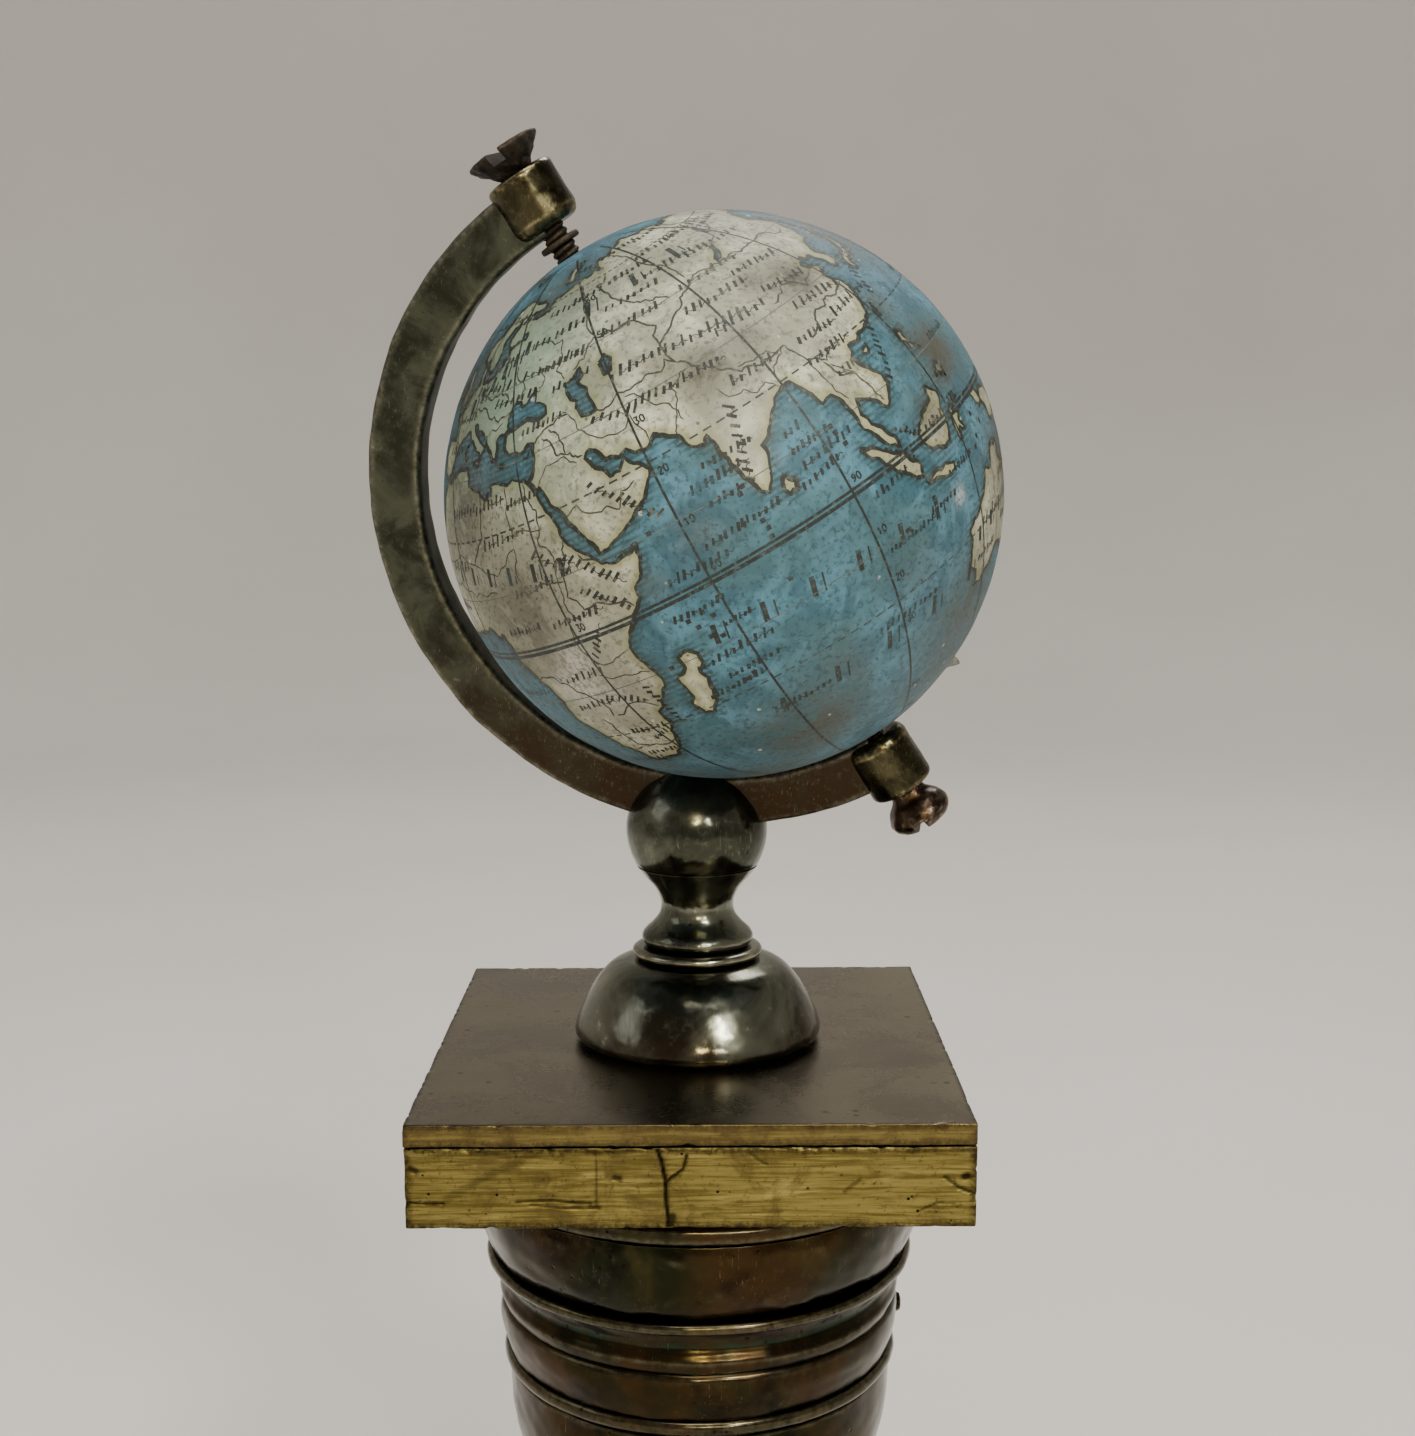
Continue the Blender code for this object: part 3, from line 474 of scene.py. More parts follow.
def plate_finish():
    """The block's top plate: satin brown lacquer above, dull yellow brass at its sides."""
    finish = Finish("plate_brass", metallic=1.0)
    broad = finish.noise(15.0, 5.0, 0.6, 0.5)
    streak = finish.noise(0.8, 5.0, 0.6, 0.2, (12.0, 1.0, 1.0))
    fine = finish.noise(0.45, 5.0, 0.66)
    colour = finish.mix(finish.band(broad, 0.3, 0.7), (0.108, 0.091, 0.058), (0.165, 0.14, 0.09))
    colour = finish.mix(finish.band(streak, 0.5, 0.75, 0.0, 0.35), colour, (0.165, 0.143, 0.093))
    colour = finish.mix(finish.band(fine, 0.58, 0.7, 0.0, 0.4), colour, (0.055, 0.042, 0.028))
    stain = finish.math("MULTIPLY", finish.band(finish.cells(2.3), 0.2, 0.07), finish.band(broad, 0.5, 0.6))
    colour = finish.mix(finish.math("MULTIPLY", stain, 0.8), colour, (0.012, 0.009, 0.006))
    mark = finish.math("ADD", scratches(finish, 0.9, 0.12, (0.0, 1.57, 0.4), 0.8),
                       scratches(finish, 1.0, 0.13, (0.0, 1.57, 2.0), 0.6), clamp=True)
    colour = finish.mix(finish.math("MULTIPLY", mark, 0.3), colour, (0.36, 0.3, 0.19))
    colour = finish.mix(finish.band(finish.read("rim"), 0.55, 0.95, 0.0, 0.85), colour,
                        (0.02, 0.015, 0.009))
    yellow, brush = brushed_yellow(finish, 0.95)
    yellow = finish.mix(0.35, yellow, (0.11, 0.075, 0.035))
    is_top = finish.band(finish.read("upper"), 0.55, 0.8)
    colour = finish.mix(is_top, yellow, colour)
    roughness = finish.math("MULTIPLY_ADD", fine, 0.14, finish.band(broad, 0.3, 0.7, 0.16, 0.26))
    relief = finish.math("SUBTRACT", finish.math("MULTIPLY", streak, 0.4),
                         finish.math("MULTIPLY", mark, 0.4))
    relief = finish.math("MULTIPLY_ADD", brush, 0.4, relief)
    return finish.done(colour, roughness, None, finish.bump(relief, 0.018, 0.5))


def gilt_finish():
    """Yellow brass of the block's sides: brushed lengthways, pitted, scored, dark along its edges."""
    finish = Finish("brushed_brass", metallic=1.0)
    colour, brush = brushed_yellow(finish, 0.7)
    pit = finish.math("MULTIPLY", finish.band(finish.cells(1.1), 0.18, 0.08),
                      finish.band(finish.noise(3.2, 3.0), 0.5, 0.6))
    gouge = finish.math("MAXIMUM", pit, finish.read("crack"))
    colour = finish.mix(finish.math("MULTIPLY", gouge, 0.95), colour, (0.008, 0.006, 0.003))
    roughness = finish.math("MAXIMUM", finish.math("MULTIPLY_ADD", brush, 0.3, 0.24),
                            finish.math("MULTIPLY", gouge, 0.9))
    relief = finish.math("SUBTRACT", finish.math("MULTIPLY", brush, 0.5), gouge)
    return finish.done(colour, roughness, None, finish.bump(relief, 0.07, 0.7))


def felt_finish():
    finish = Finish("green_felt", roughness=0.95, Sheen_Weight=0.4, Sheen_Roughness=0.6)
    fibre = finish.noise(0.25, 6.0, 0.75, 1.5)
    broad = finish.noise(6.0, 3.0)
    colour = finish.mix(finish.band(fibre, 0.35, 0.7), (0.012, 0.03, 0.02), (0.05, 0.095, 0.065))
    colour = finish.mix(finish.band(broad, 0.5, 0.7, 0.0, 0.4), colour, (0.09, 0.1, 0.075))
    return finish.done(colour, None, None, finish.bump(fibre, 0.2))


def core_finish():
    finish = Finish("moulded_core", roughness=0.9)
    pulp = finish.noise(0.8, 6.0, 0.7)
    colour = finish.mix(finish.band(pulp, 0.35, 0.7), (0.42, 0.36, 0.26), (0.75, 0.7, 0.58))
    return finish.done(colour, None, None, finish.bump(pulp, 0.15))


def paper_finish():
    """The printed map: hand-coloured sea and land by the stored shore distance, stained and rubbed."""
    finish = Finish("map_paper", Specular_IOR_Level=0.35)
    shore = finish.read("shore")
    blot = finish.noise(3.4, 5.0, 0.62, 0.8)
    fine = finish.noise(0.45, 5.0, 0.65)
    fibre = finish.noise(0.12, 3.0, 0.7)
    cloud = finish.noise(9.0, 4.0, 0.6, 0.5)
    sea = finish.mix(finish.band(blot, 0.38, 0.62), (0.034, 0.105, 0.145), (0.085, 0.22, 0.3))
    sea = finish.mix(finish.band(cloud, 0.46, 0.62, 0.0, 0.6), sea, (0.05, 0.115, 0.13))
    sea = finish.mix(finish.band(fine, 0.5, 0.64, 0.0, 0.65), sea, (0.018, 0.055, 0.072))
    land = finish.mix(finish.band(blot, 0.38, 0.62), (0.31, 0.32, 0.235), (0.62, 0.63, 0.49))
    land = finish.mix(finish.band(cloud, 0.46, 0.62, 0.0, 0.6), land, (0.26, 0.265, 0.19))
    land = finish.mix(finish.band(fine, 0.5, 0.64, 0.0, 0.7), land, (0.13, 0.125, 0.09))
    wash = finish.math("MULTIPLY", finish.band(shore, 1.1, 0.1), finish.band(blot, 0.3, 0.6, 0.35, 0.8))
    land = finish.mix(wash, land, (0.27, 0.27, 0.11))
    land = finish.mix(finish.math("MULTIPLY", finish.read("green"), 0.85), land, (0.15, 0.25, 0.19))
    row = finish.math("SINE", finish.math("MULTIPLY", finish.read("latitude"),
                                          360 / HATCH_STEP * math.pi / 180))
    hatch = finish.math("MULTIPLY", finish.band(row, -0.4, 0.6, 0.35, 1.0),
                        finish.band(shore, -1.2, -0.1, 0.0, 0.8))
    sea = finish.mix(hatch, sea, (0.018, 0.045, 0.042))
    colour = finish.mix(finish.band(shore, -0.05, 0.05), sea, land)
    stained = finish.math("MULTIPLY", finish.read("grime"), finish.band(blot, 0.38, 0.54, 0.45, 1.0))
    colour = finish.mix(finish.math("MULTIPLY", stained, 0.95), colour, (0.06, 0.053, 0.038))
    rub = finish.math("MULTIPLY", finish.read("rubbed"), finish.band(fine, 0.4, 0.58))
    colour = finish.mix(finish.math("MULTIPLY", rub, 0.8), colour, (0.58, 0.56, 0.52))
    fleck = finish.math("MULTIPLY", finish.band(finish.cells(1.3), 0.16, 0.07),
                        finish.band(blot, 0.47, 0.56))
    colour = finish.mix(finish.math("MULTIPLY", fleck, 0.75), colour, (0.035, 0.04, 0.03))
    chip = finish.math("MULTIPLY", finish.band(finish.cells(3.1), 0.09, 0.05),
                       finish.band(fine, 0.46, 0.55))
    colour = finish.mix(finish.math("MULTIPLY", chip, 0.75), colour, (0.55, 0.53, 0.46))
    roughness = finish.math("MULTIPLY_ADD", fine, 0.3, finish.band(blot, 0.3, 0.7, 0.36, 0.5))
    relief = finish.math("MULTIPLY_ADD", fibre, 0.3, finish.math("MULTIPLY", fine, 0.5))
    relief = finish.math("SUBTRACT", relief, finish.math("MULTIPLY", chip, 0.5))
    return finish.done(colour, roughness, None, finish.bump(relief, 0.035, 0.6))


def torn_finish():
    """Bare edge and back of the torn map paper."""
    finish = Finish("torn_paper", roughness=0.8)
    fibre = finish.noise(0.12, 5.0, 0.7)
    soil = finish.noise(0.7, 4.0)
    colour = finish.mix(finish.band(fibre, 0.35, 0.7), (0.14, 0.14, 0.12), (0.3, 0.3, 0.27))
    colour = finish.mix(finish.band(soil, 0.45, 0.6, 0.0, 0.7), colour, (0.05, 0.08, 0.09))
    return finish.done(colour, None, None, finish.bump(fibre, 0.03))


def ink_finish():
    """Printing ink, faded unevenly towards the paper under it."""
    finish = Finish("map_ink", roughness=0.55)
    fine = finish.noise(0.5, 4.0, 0.7)
    broad = finish.noise(4.0, 3.0)
    faded = finish.mix(finish.read("on_land"), (0.045, 0.12, 0.15), (0.22, 0.20, 0.135))
    wear = finish.math("ADD", finish.band(fine, 0.5, 0.68, 0.0, 0.5),
                       finish.band(broad, 0.5, 0.7, 0.0, 0.25))
    wear = finish.math("ADD", wear, finish.read("fade"), clamp=True)
    colour = finish.mix(wear, (0.009, 0.012, 0.009), faded)
    return finish.done(colour, None, None, finish.bump(fine, 0.02))


# ---------------------------------------------------------------- the printed map

# Coasts as (longitude, latitude) corners in degrees, drawn in the manner of an old small map
LANDS = {
    "africa": (
        (32.5, 30), (34, 28), (35.5, 24), (37, 21), (37.2, 18.5), (39, 15.5), (41.7, 12.8), (43, 11.3),
        (45, 10.6), (47.5, 11), (51, 11.9), (50.4, 9), (48.6, 6), (46.8, 3), (45, 1.2), (43.2, -1),
        (41, -2.8), (39.5, -5), (39.8, -8), (40.8, -11), (40.6, -15), (37.8, -17.5), (35, -20),
        (35.3, -23.5), (33, -25.8), (32.3, -28), (30, -31.3), (27, -33.6), (22, -34.3), (18.5, -34.2),
        (18, -31.5), (15.5, -27), (14.3, -22), (12, -17), (13.5, -12), (13, -9), (11.5, -5), (9.2, -1.5),
        (9.6, 2), (8.7, 4.6), (6, 4.3), (4, 6.4), (0, 5.8), (-4, 5.2), (-7.7, 4.4), (-11, 6.5),
        (-13.5, 9.2), (-16.8, 12.6), (-17.4, 14.7), (-16.3, 19), (-16.6, 22), (-13.5, 27), (-9.8, 30),
        (-9.6, 32), (-6.3, 34.4), (-5.8, 35.9), (-2, 35.2), (3, 36.9), (10, 37.3), (10.8, 35.3),
        (10.3, 33.9), (15.3, 32.3), (18, 30.4), (20, 31), (20.4, 32.7), (23, 32.5), (26, 31.5),
        (30, 31.3)),
    "old_world": (
        (32.8, 30.3), (34.6, 28), (35.2, 28.6), (36.6, 26), (38.6, 23.3), (39.5, 20.5), (41.5, 17.5),
        (43, 15.2), (43.6, 12.9), (46, 13.3), (49, 14.5), (52.5, 16), (55.5, 17.8), (57.5, 19.6),
        (59.6, 22.4), (58.2, 24.2), (56.6, 25.2), (56, 26.4), (54, 24.6), (51.8, 24.6), (51, 26.4),
        (49.6, 27.2), (48, 29.6), (49.6, 30.8), (51.5, 29), (53.5, 27.6), (57, 27.6), (58.5, 26.2),
        (61.5, 26), (63.5, 27.4), (66, 25.6), (68, 23.4), (69.6, 21.6), (71.5, 21.4), (72.2, 22.6),
        (72.6, 19), (73.6, 15), (75.2, 10.5), (76.8, 8.2), (78.4, 10.3), (79.6, 13), (80, 15.8),
        (82.3, 17), (85, 19.8), (87, 21.6), (89.4, 22.4), (91.5, 22.6), (93.6, 18.5), (94.3, 16),
        (96.8, 16.4), (97.8, 13.5), (98.4, 10.5), (98.4, 8), (100, 5.6), (101.4, 3), (103.4, 1.6),
        (103.2, 4), (102, 6.4), (100.4, 8), (99.6, 10.5), (100.6, 13.2), (102.6, 12), (104.6, 10.3),
        (105.6, 8.6), (107.6, 10.2), (109.2, 12), (108.8, 14.4), (107, 17), (105.8, 19.4), (107.4, 21.6),
        (110, 21.2), (113.8, 22.3), (117, 23.6), (119.5, 26), (121.8, 29), (121.6, 31.8), (119.6, 34.8),
        (122.4, 37), (119, 37.6), (118.2, 39.2), (121.3, 40.6), (121.8, 39.2), (124.5, 39.8),
        (125.4, 37.5), (126.5, 34.5), (129, 35.4), (129.2, 37.4), (127.6, 39.5), (130.5, 42.3),
        (133.5, 43), (137, 46), (140.3, 50), (139, 53.6), (137, 55), (141, 58.5), (149, 59.4),
        (156, 61.6), (162.5, 62), (160, 58.8), (156.5, 57), (156, 52.5), (157, 51), (160.5, 54),
        (162.8, 57), (164, 59.6), (170, 60.2), (178, 62.5), (181, 65), (189, 65.5), (186, 67.5),
        (178, 69.4), (168, 69.8), (159, 70.6), (150, 72), (140, 72.8), (130, 71.4), (126, 73.6),
        (113, 74.2), (105, 77.4), (98, 76), (87, 74.6), (80, 73), (74, 72.6), (72.6, 68.6), (69, 71.5),
        (66.5, 69), (60, 68.8), (54, 68.4), (47, 67.8), (43.8, 66.2), (40, 64.7), (36, 64.5), (33, 66.7),
        (40.5, 66.4), (41, 67.7), (33, 69.4), (25.5, 71), (18, 69.5), (14, 67), (10.5, 64), (5.5, 62),
        (5.4, 59), (8, 58), (10.6, 59.1), (12.4, 56.4), (14.4, 55.6), (16.5, 57), (18.4, 60),
        (17.3, 61.7), (21, 64.8), (24.5, 65.8), (25, 64.5), (21.6, 62), (22.4, 60), (29.5, 60.1),
        (23.6, 59), (24, 57.3), (21.3, 57), (20.8, 55.2), (18.5, 54.6), (14, 54), (11, 54),
        (10.4, 57.4), (8.2, 57), (8.4, 54), (5, 53.2), (3, 51.3), (0, 49.8), (-1.8, 48.6), (-4.7, 48.4),
        (-2, 47), (-1.3, 44.5), (-2, 43.5), (-8, 43.7), (-9.2, 42), (-9.2, 38.8), (-8.8, 37.1),
        (-6.3, 36.6), (-5.4, 36), (-2, 36.8), (-0.2, 39), (3.2, 42), (5, 43.4), (8.5, 44.3), (10.5, 42.8),
        (13, 41.2), (15.8, 39.5), (15.9, 38), (17.2, 39.6), (18.5, 40.2), (15.6, 42), (13.6, 43.7),
        (12.4, 45.3), (14, 45), (16, 43.5), (19, 42), (19.6, 40), (21.4, 37.2), (23, 36.5),
        (23.5, 38.3), (23.6, 40.3), (26.5, 40.8), (29, 41.1), (27, 40.2), (26.4, 38.5), (27.6, 36.9),
        (30.5, 36.5), (33, 36.2), (35.8, 36.7), (35.6, 34), (34.4, 31.6)),
    "ceylon": ((79.6, 8.6), (80.4, 9.4), (82, 7.6), (81.4, 5.9), (79.8, 6)),
    "madagascar": (
        (49, -9.8), (50.3, -13.5), (49.3, -17), (47.5, -22.5), (45.4, -24.8), (43.4, -24.2), (42.7, -20.8),
        (44, -18), (43.8, -14.5), (46.6, -13)),
    "sumatra": ((95.3, 5.7), (98, 4.5), (101, 1.6), (104, -1.4), (106, -3.5), (105.6, -5.8), (103.5, -5),
                (101, -2.4), (98.6, 0.6), (96.6, 3)),
    "java": ((105.3, -6.6), (108.5, -6.3), (112, -6.6), (114.6, -7.6), (114.2, -8.8), (109, -8),
             (106, -7.5)),
    "borneo": ((109, 1.5), (111.5, 2.8), (113.5, 4), (116.8, 7), (119.2, 5), (117.8, 2), (117.5, -1),
               (116, -4), (112.5, -3.4), (110.2, -2.6), (108.8, 0)),
    "celebes": ((119.5, -5.5), (119.2, -2.6), (120, 0.8), (124.8, 1.6), (121, 0.2), (123.2, -1.2),
                (121.6, -2.2), (122.8, -4.6), (120.8, -3.2), (120.4, -5.6)),
    "luzon": ((120.3, 18.4), (122.3, 18.2), (121.8, 15), (124, 12.8), (121, 13.8), (119.8, 16)),
    "mindanao": ((122, 7), (124, 8.8), (126.4, 8.4), (125.5, 5.8), (123.4, 7.2)),
    "formosa": ((120.2, 23), (121.6, 25.2), (121, 22)),
    "hainan": ((108.7, 19.2), (111, 20), (110, 18.3)),
    "new_guinea": (
        (131, -0.8), (134, -0.8), (135.4, -3.3), (138, -1.7), (141, -2.6), (145, -4.3), (147.8, -6.4),
        (150.5, -10.4), (147, -9.6), (144.2, -7.7), (141, -9), (138, -8.3), (137.4, -5.2), (133.6, -4),
        (132, -2.8)),
    "australia": (
        (114, -22), (113.7, -26.5), (115.8, -31.5), (115, -34.3), (118, -35), (123.5, -33.9),
        (126, -32.3), (131, -31.5), (134.5, -33), (136, -34.8), (138, -33.3), (138.6, -35.6),
        (141, -38.2), (144.5, -38.3), (146.5, -39), (150, -37.4), (151.6, -33), (153.3, -29),
        (153, -25.5), (150.8, -23.2), (146.3, -19), (145.3, -15), (142.5, -10.8), (141.5, -14),
        (140.5, -17.6), (136.6, -16), (135.6, -14.6), (136.8, -12.2), (132.5, -11.2), (130, -13.3),
        (128.8, -15), (126, -14), (122.3, -18), (119, -20)),
    "tasmania": ((144.7, -40.8), (148.2, -40.9), (147.8, -43.2), (146, -43.5)),
    "zealand_north": ((172.8, -34.5), (175.6, -36.8), (178.3, -37.8), (176.8, -40.5), (174.8, -41.4),
                      (173.9, -39.2)),
    "zealand_south": ((172.7, -40.6), (174.2, -41.9), (170.8, -45.8), (168.5, -46.6), (166.5, -46),
                      (168.5, -44), (171.3, -41.8)),
    "honshu": ((130.6, 33), (132.5, 35), (136, 36), (138.5, 37.6), (140, 39.6), (140.4, 42), (142, 45.2),
               (145, 43.4), (141.6, 41.6), (142, 39.4), (140.6, 35.6), (137.5, 34.5), (135.5, 33.5),
               (132.6, 33.4), (131.2, 31.4)),
    "sakhalin": ((142, 54), (143.6, 50), (143.4, 46.4), (142, 46.6), (141.8, 50)),
    "britain": ((-5.5, 50.1), (1.2, 51.1), (1.6, 52.8), (-0.3, 54.5), (-2, 57.5), (-5, 58.6), (-5.6, 56),
                (-3.2, 54), (-4.6, 52.8), (-4.8, 51.7)),
    "ireland": ((-10, 51.7), (-6.3, 52.2), (-5.9, 54.5), (-8, 55.3), (-9.8, 54)),
    "iceland": ((-24, 65.4), (-20, 66), (-14.4, 65), (-18.5, 63.4), (-22.6, 64)),
    "spitsbergen": ((11, 79.5), (20, 80.2), (24, 78.4), (17, 76.8), (13, 78)),
    "nova_zembla": ((52, 71), (56, 75.4), (67, 76.8), (60, 74), (57.5, 71)),
    "greenland": ((-45, 60), (-51, 65), (-54, 70), (-60, 75.6), (-70, 78), (-60, 82), (-32, 83.4),
                  (-19, 80),
                  (-22, 72), (-32, 68), (-41, 64)),
    "sicily": ((12.5, 38), (15.5, 38.2), (15, 36.8)),
    "sardinia": ((8.3, 40.8), (9.4, 41.8), (9.6, 39.2), (8.5, 39)),
    "crete": ((23.5, 35.4), (26.2, 35.2), (24.5, 34.9)),
    "cyprus": ((32.3, 35), (34.5, 35.6), (33.5, 34.6)),
    "america_north": (
        (-168, 65.6), (-162, 66.5), (-166, 68.3), (-156, 71.2), (-141, 69.7), (-128, 70), (-115, 68),
        (-108, 68), (-95, 68), (-93, 71), (-85, 69.4), (-82, 67), (-87, 64.5), (-94, 61), (-94.3, 58.6),
        (-88, 56.5), (-82.3, 55), (-82, 52.6), (-79.6, 51.4), (-79, 54.5), (-77, 57), (-78, 62), (-70, 61),
        (-65, 59), (-61, 56), (-56, 52.5), (-59, 50.2), (-66, 50), (-64.5, 48.6), (-64, 46.2), (-60.5, 46),
        (-66, 43.8), (-70, 43.3), (-70.2, 41.6), (-74, 40.4), (-75.8, 36.5), (-79, 33.4), (-81.3, 31),
        (-80.2, 26.6), (-81.4, 25.2), (-82.8, 28.5), (-85, 29.8), (-89.5, 29.6), (-94, 29.5),
        (-97.3, 27.5), (-97.6, 22), (-95, 18.4), (-91.4, 18.6), (-90.3, 21), (-87, 21.4), (-88.4, 16),
        (-83.4, 15), (-83.7, 11), (-81.5, 9), (-79.5, 9.6), (-77.4, 8.6), (-78.4, 7.8), (-80.3, 7.3),
        (-83, 8.3), (-85.7, 10), (-88, 13), (-92, 14.6), (-96, 15.7), (-101.5, 17.6), (-105.5, 20.2),
        (-106, 23), (-109.5, 26.5), (-112.8, 31), (-114.6, 31.2), (-112.5, 28), (-109.6, 23.2), (-112, 25),
        (-114.5, 28), (-116.7, 31.5), (-118.5, 34), (-121.9, 36.7), (-124.2, 40.3), (-124.2, 46),
        (-123.2, 48.3), (-128, 51.5), (-132, 55.5), (-139, 59.6), (-146, 60.7), (-152, 59), (-158, 56.5),
        (-163.5, 54.8), (-157.5, 58.7), (-165, 61.5), (-161, 64.4)),
    "america_south": (
        (-77.4, 8.4), (-75.5, 10.7), (-71.7, 12.3), (-68, 11.3), (-62, 10.7), (-60, 8.5), (-54, 5.8),
        (-51, 4), (-50, 0.5), (-44, -2.5), (-39, -3), (-35.3, -5.5), (-35, -9), (-38.5, -13),
        (-39, -17.5), (-41, -22), (-46, -24), (-48.7, -26.5), (-50, -29.5), (-53.5, -34), (-58, -34.3),
        (-57, -38), (-62.2, -39), (-65, -41.5), (-65.5, -45), (-68, -50), (-68.5, -52.5), (-66, -55),
        (-71, -54.6), (-75, -51), (-74.5, -45), (-73.2, -39), (-71.6, -33), (-70.3, -25), (-70.4, -18.4),
        (-76, -14), (-79.5, -7.5), (-81.2, -4.5), (-80, -1), (-78.8, 1.5), (-77.3, 4.5), (-77.9, 7)),
    "cuba": ((-84.6, 22), (-82, 23.1), (-77, 21.5), (-74.3, 20.2), (-77.5, 19.9), (-81, 22)),
    "hispaniola": ((-74, 19.7), (-69.8, 19.7), (-68.5, 18.4), (-71.5, 17.8), (-74, 18.4)),
}
INLAND_SEAS = {
    "black_sea": ((28, 42), (28.4, 44), (30.5, 46), (33, 46), (33.6, 44.8), (35.4, 45.2), (38.6, 47),
                  (38, 44.4), (41.2, 42.6), (41, 41.2), (38, 41), (35, 42), (32, 41.4), (29.2, 41.1)),
    "caspian": ((50.5, 45.2), (53, 46.8), (53.4, 45), (51.4, 44), (53.4, 42), (53.4, 39.6), (54, 37),
                (50.4, 37.3), (49.4, 39.4), (50, 40.6), (48, 43), (47.8, 45)),
    "aral": ((58.6, 45.4), (60.6, 46.6), (62, 45.2), (60.6, 42.8), (58.8, 42.6)),
    "ladoga": ((30, 61.4), (32.6, 61.6), (32, 60), (30.4, 60.2)),
    "baikal": ((104, 51.6), (108.6, 54.4), (109.8, 55.6), (108.2, 53), (105.6, 51.4)),
    "superior": ((-92, 46.8), (-88, 48.8), (-84.6, 47.4), (-88, 46.6)),
    "huron": ((-87.6, 42), (-86.4, 45.6), (-82, 45.8), (-82.4, 43.2), (-84, 45), (-86.2, 43)),
}

# Rivers and borders, as (longitude, latitude) corners, and how strongly each is inked
LINES = (
    ((31, 31), (31, 28), (33, 25), (32.5, 22), (31, 19), (33.5, 16), (32.5, 13), (32, 9), (33, 3)),
    ((44, 32), (45.5, 31), (47.8, 30.4)), ((44, 32), (41, 35), (38.5, 37)),
    ((44, 32), (43.3, 36), (41, 38)),
    ((67.5, 24), (68.5, 27.5), (71, 31), (73, 34), (76, 35)),
    ((89.5, 22.8), (87.5, 25), (83, 26), (78.5, 29)),
    ((90, 24), (91, 26.5), (95, 28.5), (92, 29.6), (85, 30)),
    ((106, 10), (105, 14), (101.5, 18), (100, 22)),
    ((121, 31.8), (116, 30.4), (111, 30), (106, 29), (102, 26.6)),
    ((118.5, 37.6), (113, 35), (110, 38), (106, 37),
                                                                    (102, 36)),
    ((48, 46), (46, 48.6), (48.6, 51), (49.4, 55), (44, 56.4), (38, 57)),
    ((39.4, 47), (42, 48.4), (40, 51.6)),
    ((31, 46.6), (34.6, 48.2), (31.6, 51), (31, 54)),
    ((29.6, 45.2), (24, 44), (19.6, 45.6), (17, 48), (11, 48.6)),
    ((73, 66.4), (67, 64), (68.6, 61), (70, 58), (73.6, 55), (80, 51.6), (84, 50)),
    ((83, 72), (87, 68), (88, 62), (92, 57.5), (92, 52)),
    ((127, 72.6), (124, 68), (129, 63), (118, 59.6), (107, 55)),
    ((47, 39), (51, 33), (56, 31), (60.6, 33), (62, 27)), ((61, 36.6), (65, 34), (69, 31), (70, 27)),
    ((54, 37), (60, 38), (66, 37.4), (71, 37), (75, 37)),
    ((75, 37), (80, 33), (84, 30), (89, 28), (96, 28.6)),
    ((75, 37), (74, 42), (80, 45), (86, 48.6), (92, 50.5), (102, 51), (112, 49.6), (120, 50), (128, 49.6),
     (134, 48)),
    ((96, 28.6), (97.6, 24), (101, 21.8), (106, 23)), ((97.6, 24), (98, 19), (99.4, 14)),
    ((101, 21), (104.6, 17)),
    ((58.6, 69), (61, 63), (59.6, 57), (60, 51.6), (55, 48), (51, 47)),
    ((60, 51), (68, 50), (76, 46), (74, 42)),
    ((23, 54.6), (24, 50), (28, 47.6)), ((14.6, 54), (15, 50.6), (18.6, 49.4), (24, 50)),
    ((7, 53), (7, 49), (7.4, 46)),
    ((-1.6, 43.4), (3, 42.5)), ((20, 42), (26, 43.5)), ((28, 69.6), (29.6, 65), (30, 61.5)),
    ((12, 59), (13, 64), (19, 68)),
    ((36, 36.6), (42, 38.6), (47, 39)), ((39, 21), (46, 20), (51, 18.6), (56, 22)),
    ((35, 29), (40, 31.6), (46, 29.6)),
    ((25, 31.5), (25, 22), (33, 21.6)), ((37, 18), (34, 12), (35, 5), (42, 3.8), (45, 2)),
    ((39, 14.6), (43, 11.6)),
    ((15, 32), (14, 24), (8, 19)), ((24, 20), (23, 11), (34, 11)), ((30, 4.6), (30, -4.6), (39, -5)),
    ((29, -8), (33, -9.6), (40, -11)), ((25, -18), (31, -16), (36, -18.6)),
    ((12, -6), (17, -6), (22, -11), (24, -18)),
    ((20, -18), (21, -27), (27, -29), (32.6, -28)), ((18, -28.6), (22, -28.6)),
    ((-16, 16), (-8, 15), (0, 14), (8, 13), (14, 13)),
    ((-17, 21), (-5, 20), (8, 19), (16, 16), (24, 20)),
    ((-100, 49), (-90, 47.8), (-83, 42), (-75, 45), (-68, 46)),
    ((-89.6, 29.6), (-91, 36), (-95, 44)), ((-97.6, 26), (-104, 30), (-111, 31.6)),
    ((-91, 37), (-104, 41), (-111, 46)),
    ((-50, 0), (-56, -2.4), (-63, -3.6), (-73, -4)), ((-58, -34), (-58, -27), (-57, -19)),
    ((-69, -18), (-62, -20), (-57, -30)),
    ((-72, -46), (-68, -38), (-70, -28)), ((-60, 8), (-66, 6), (-68, 2)),
    ((-74, -4), (-70, -12), (-60, -14), (-58, -20)),
    ((129, -15), (129, -31.6)), ((141, -17), (141, -37)), ((150, -33), (143, -35)),
)

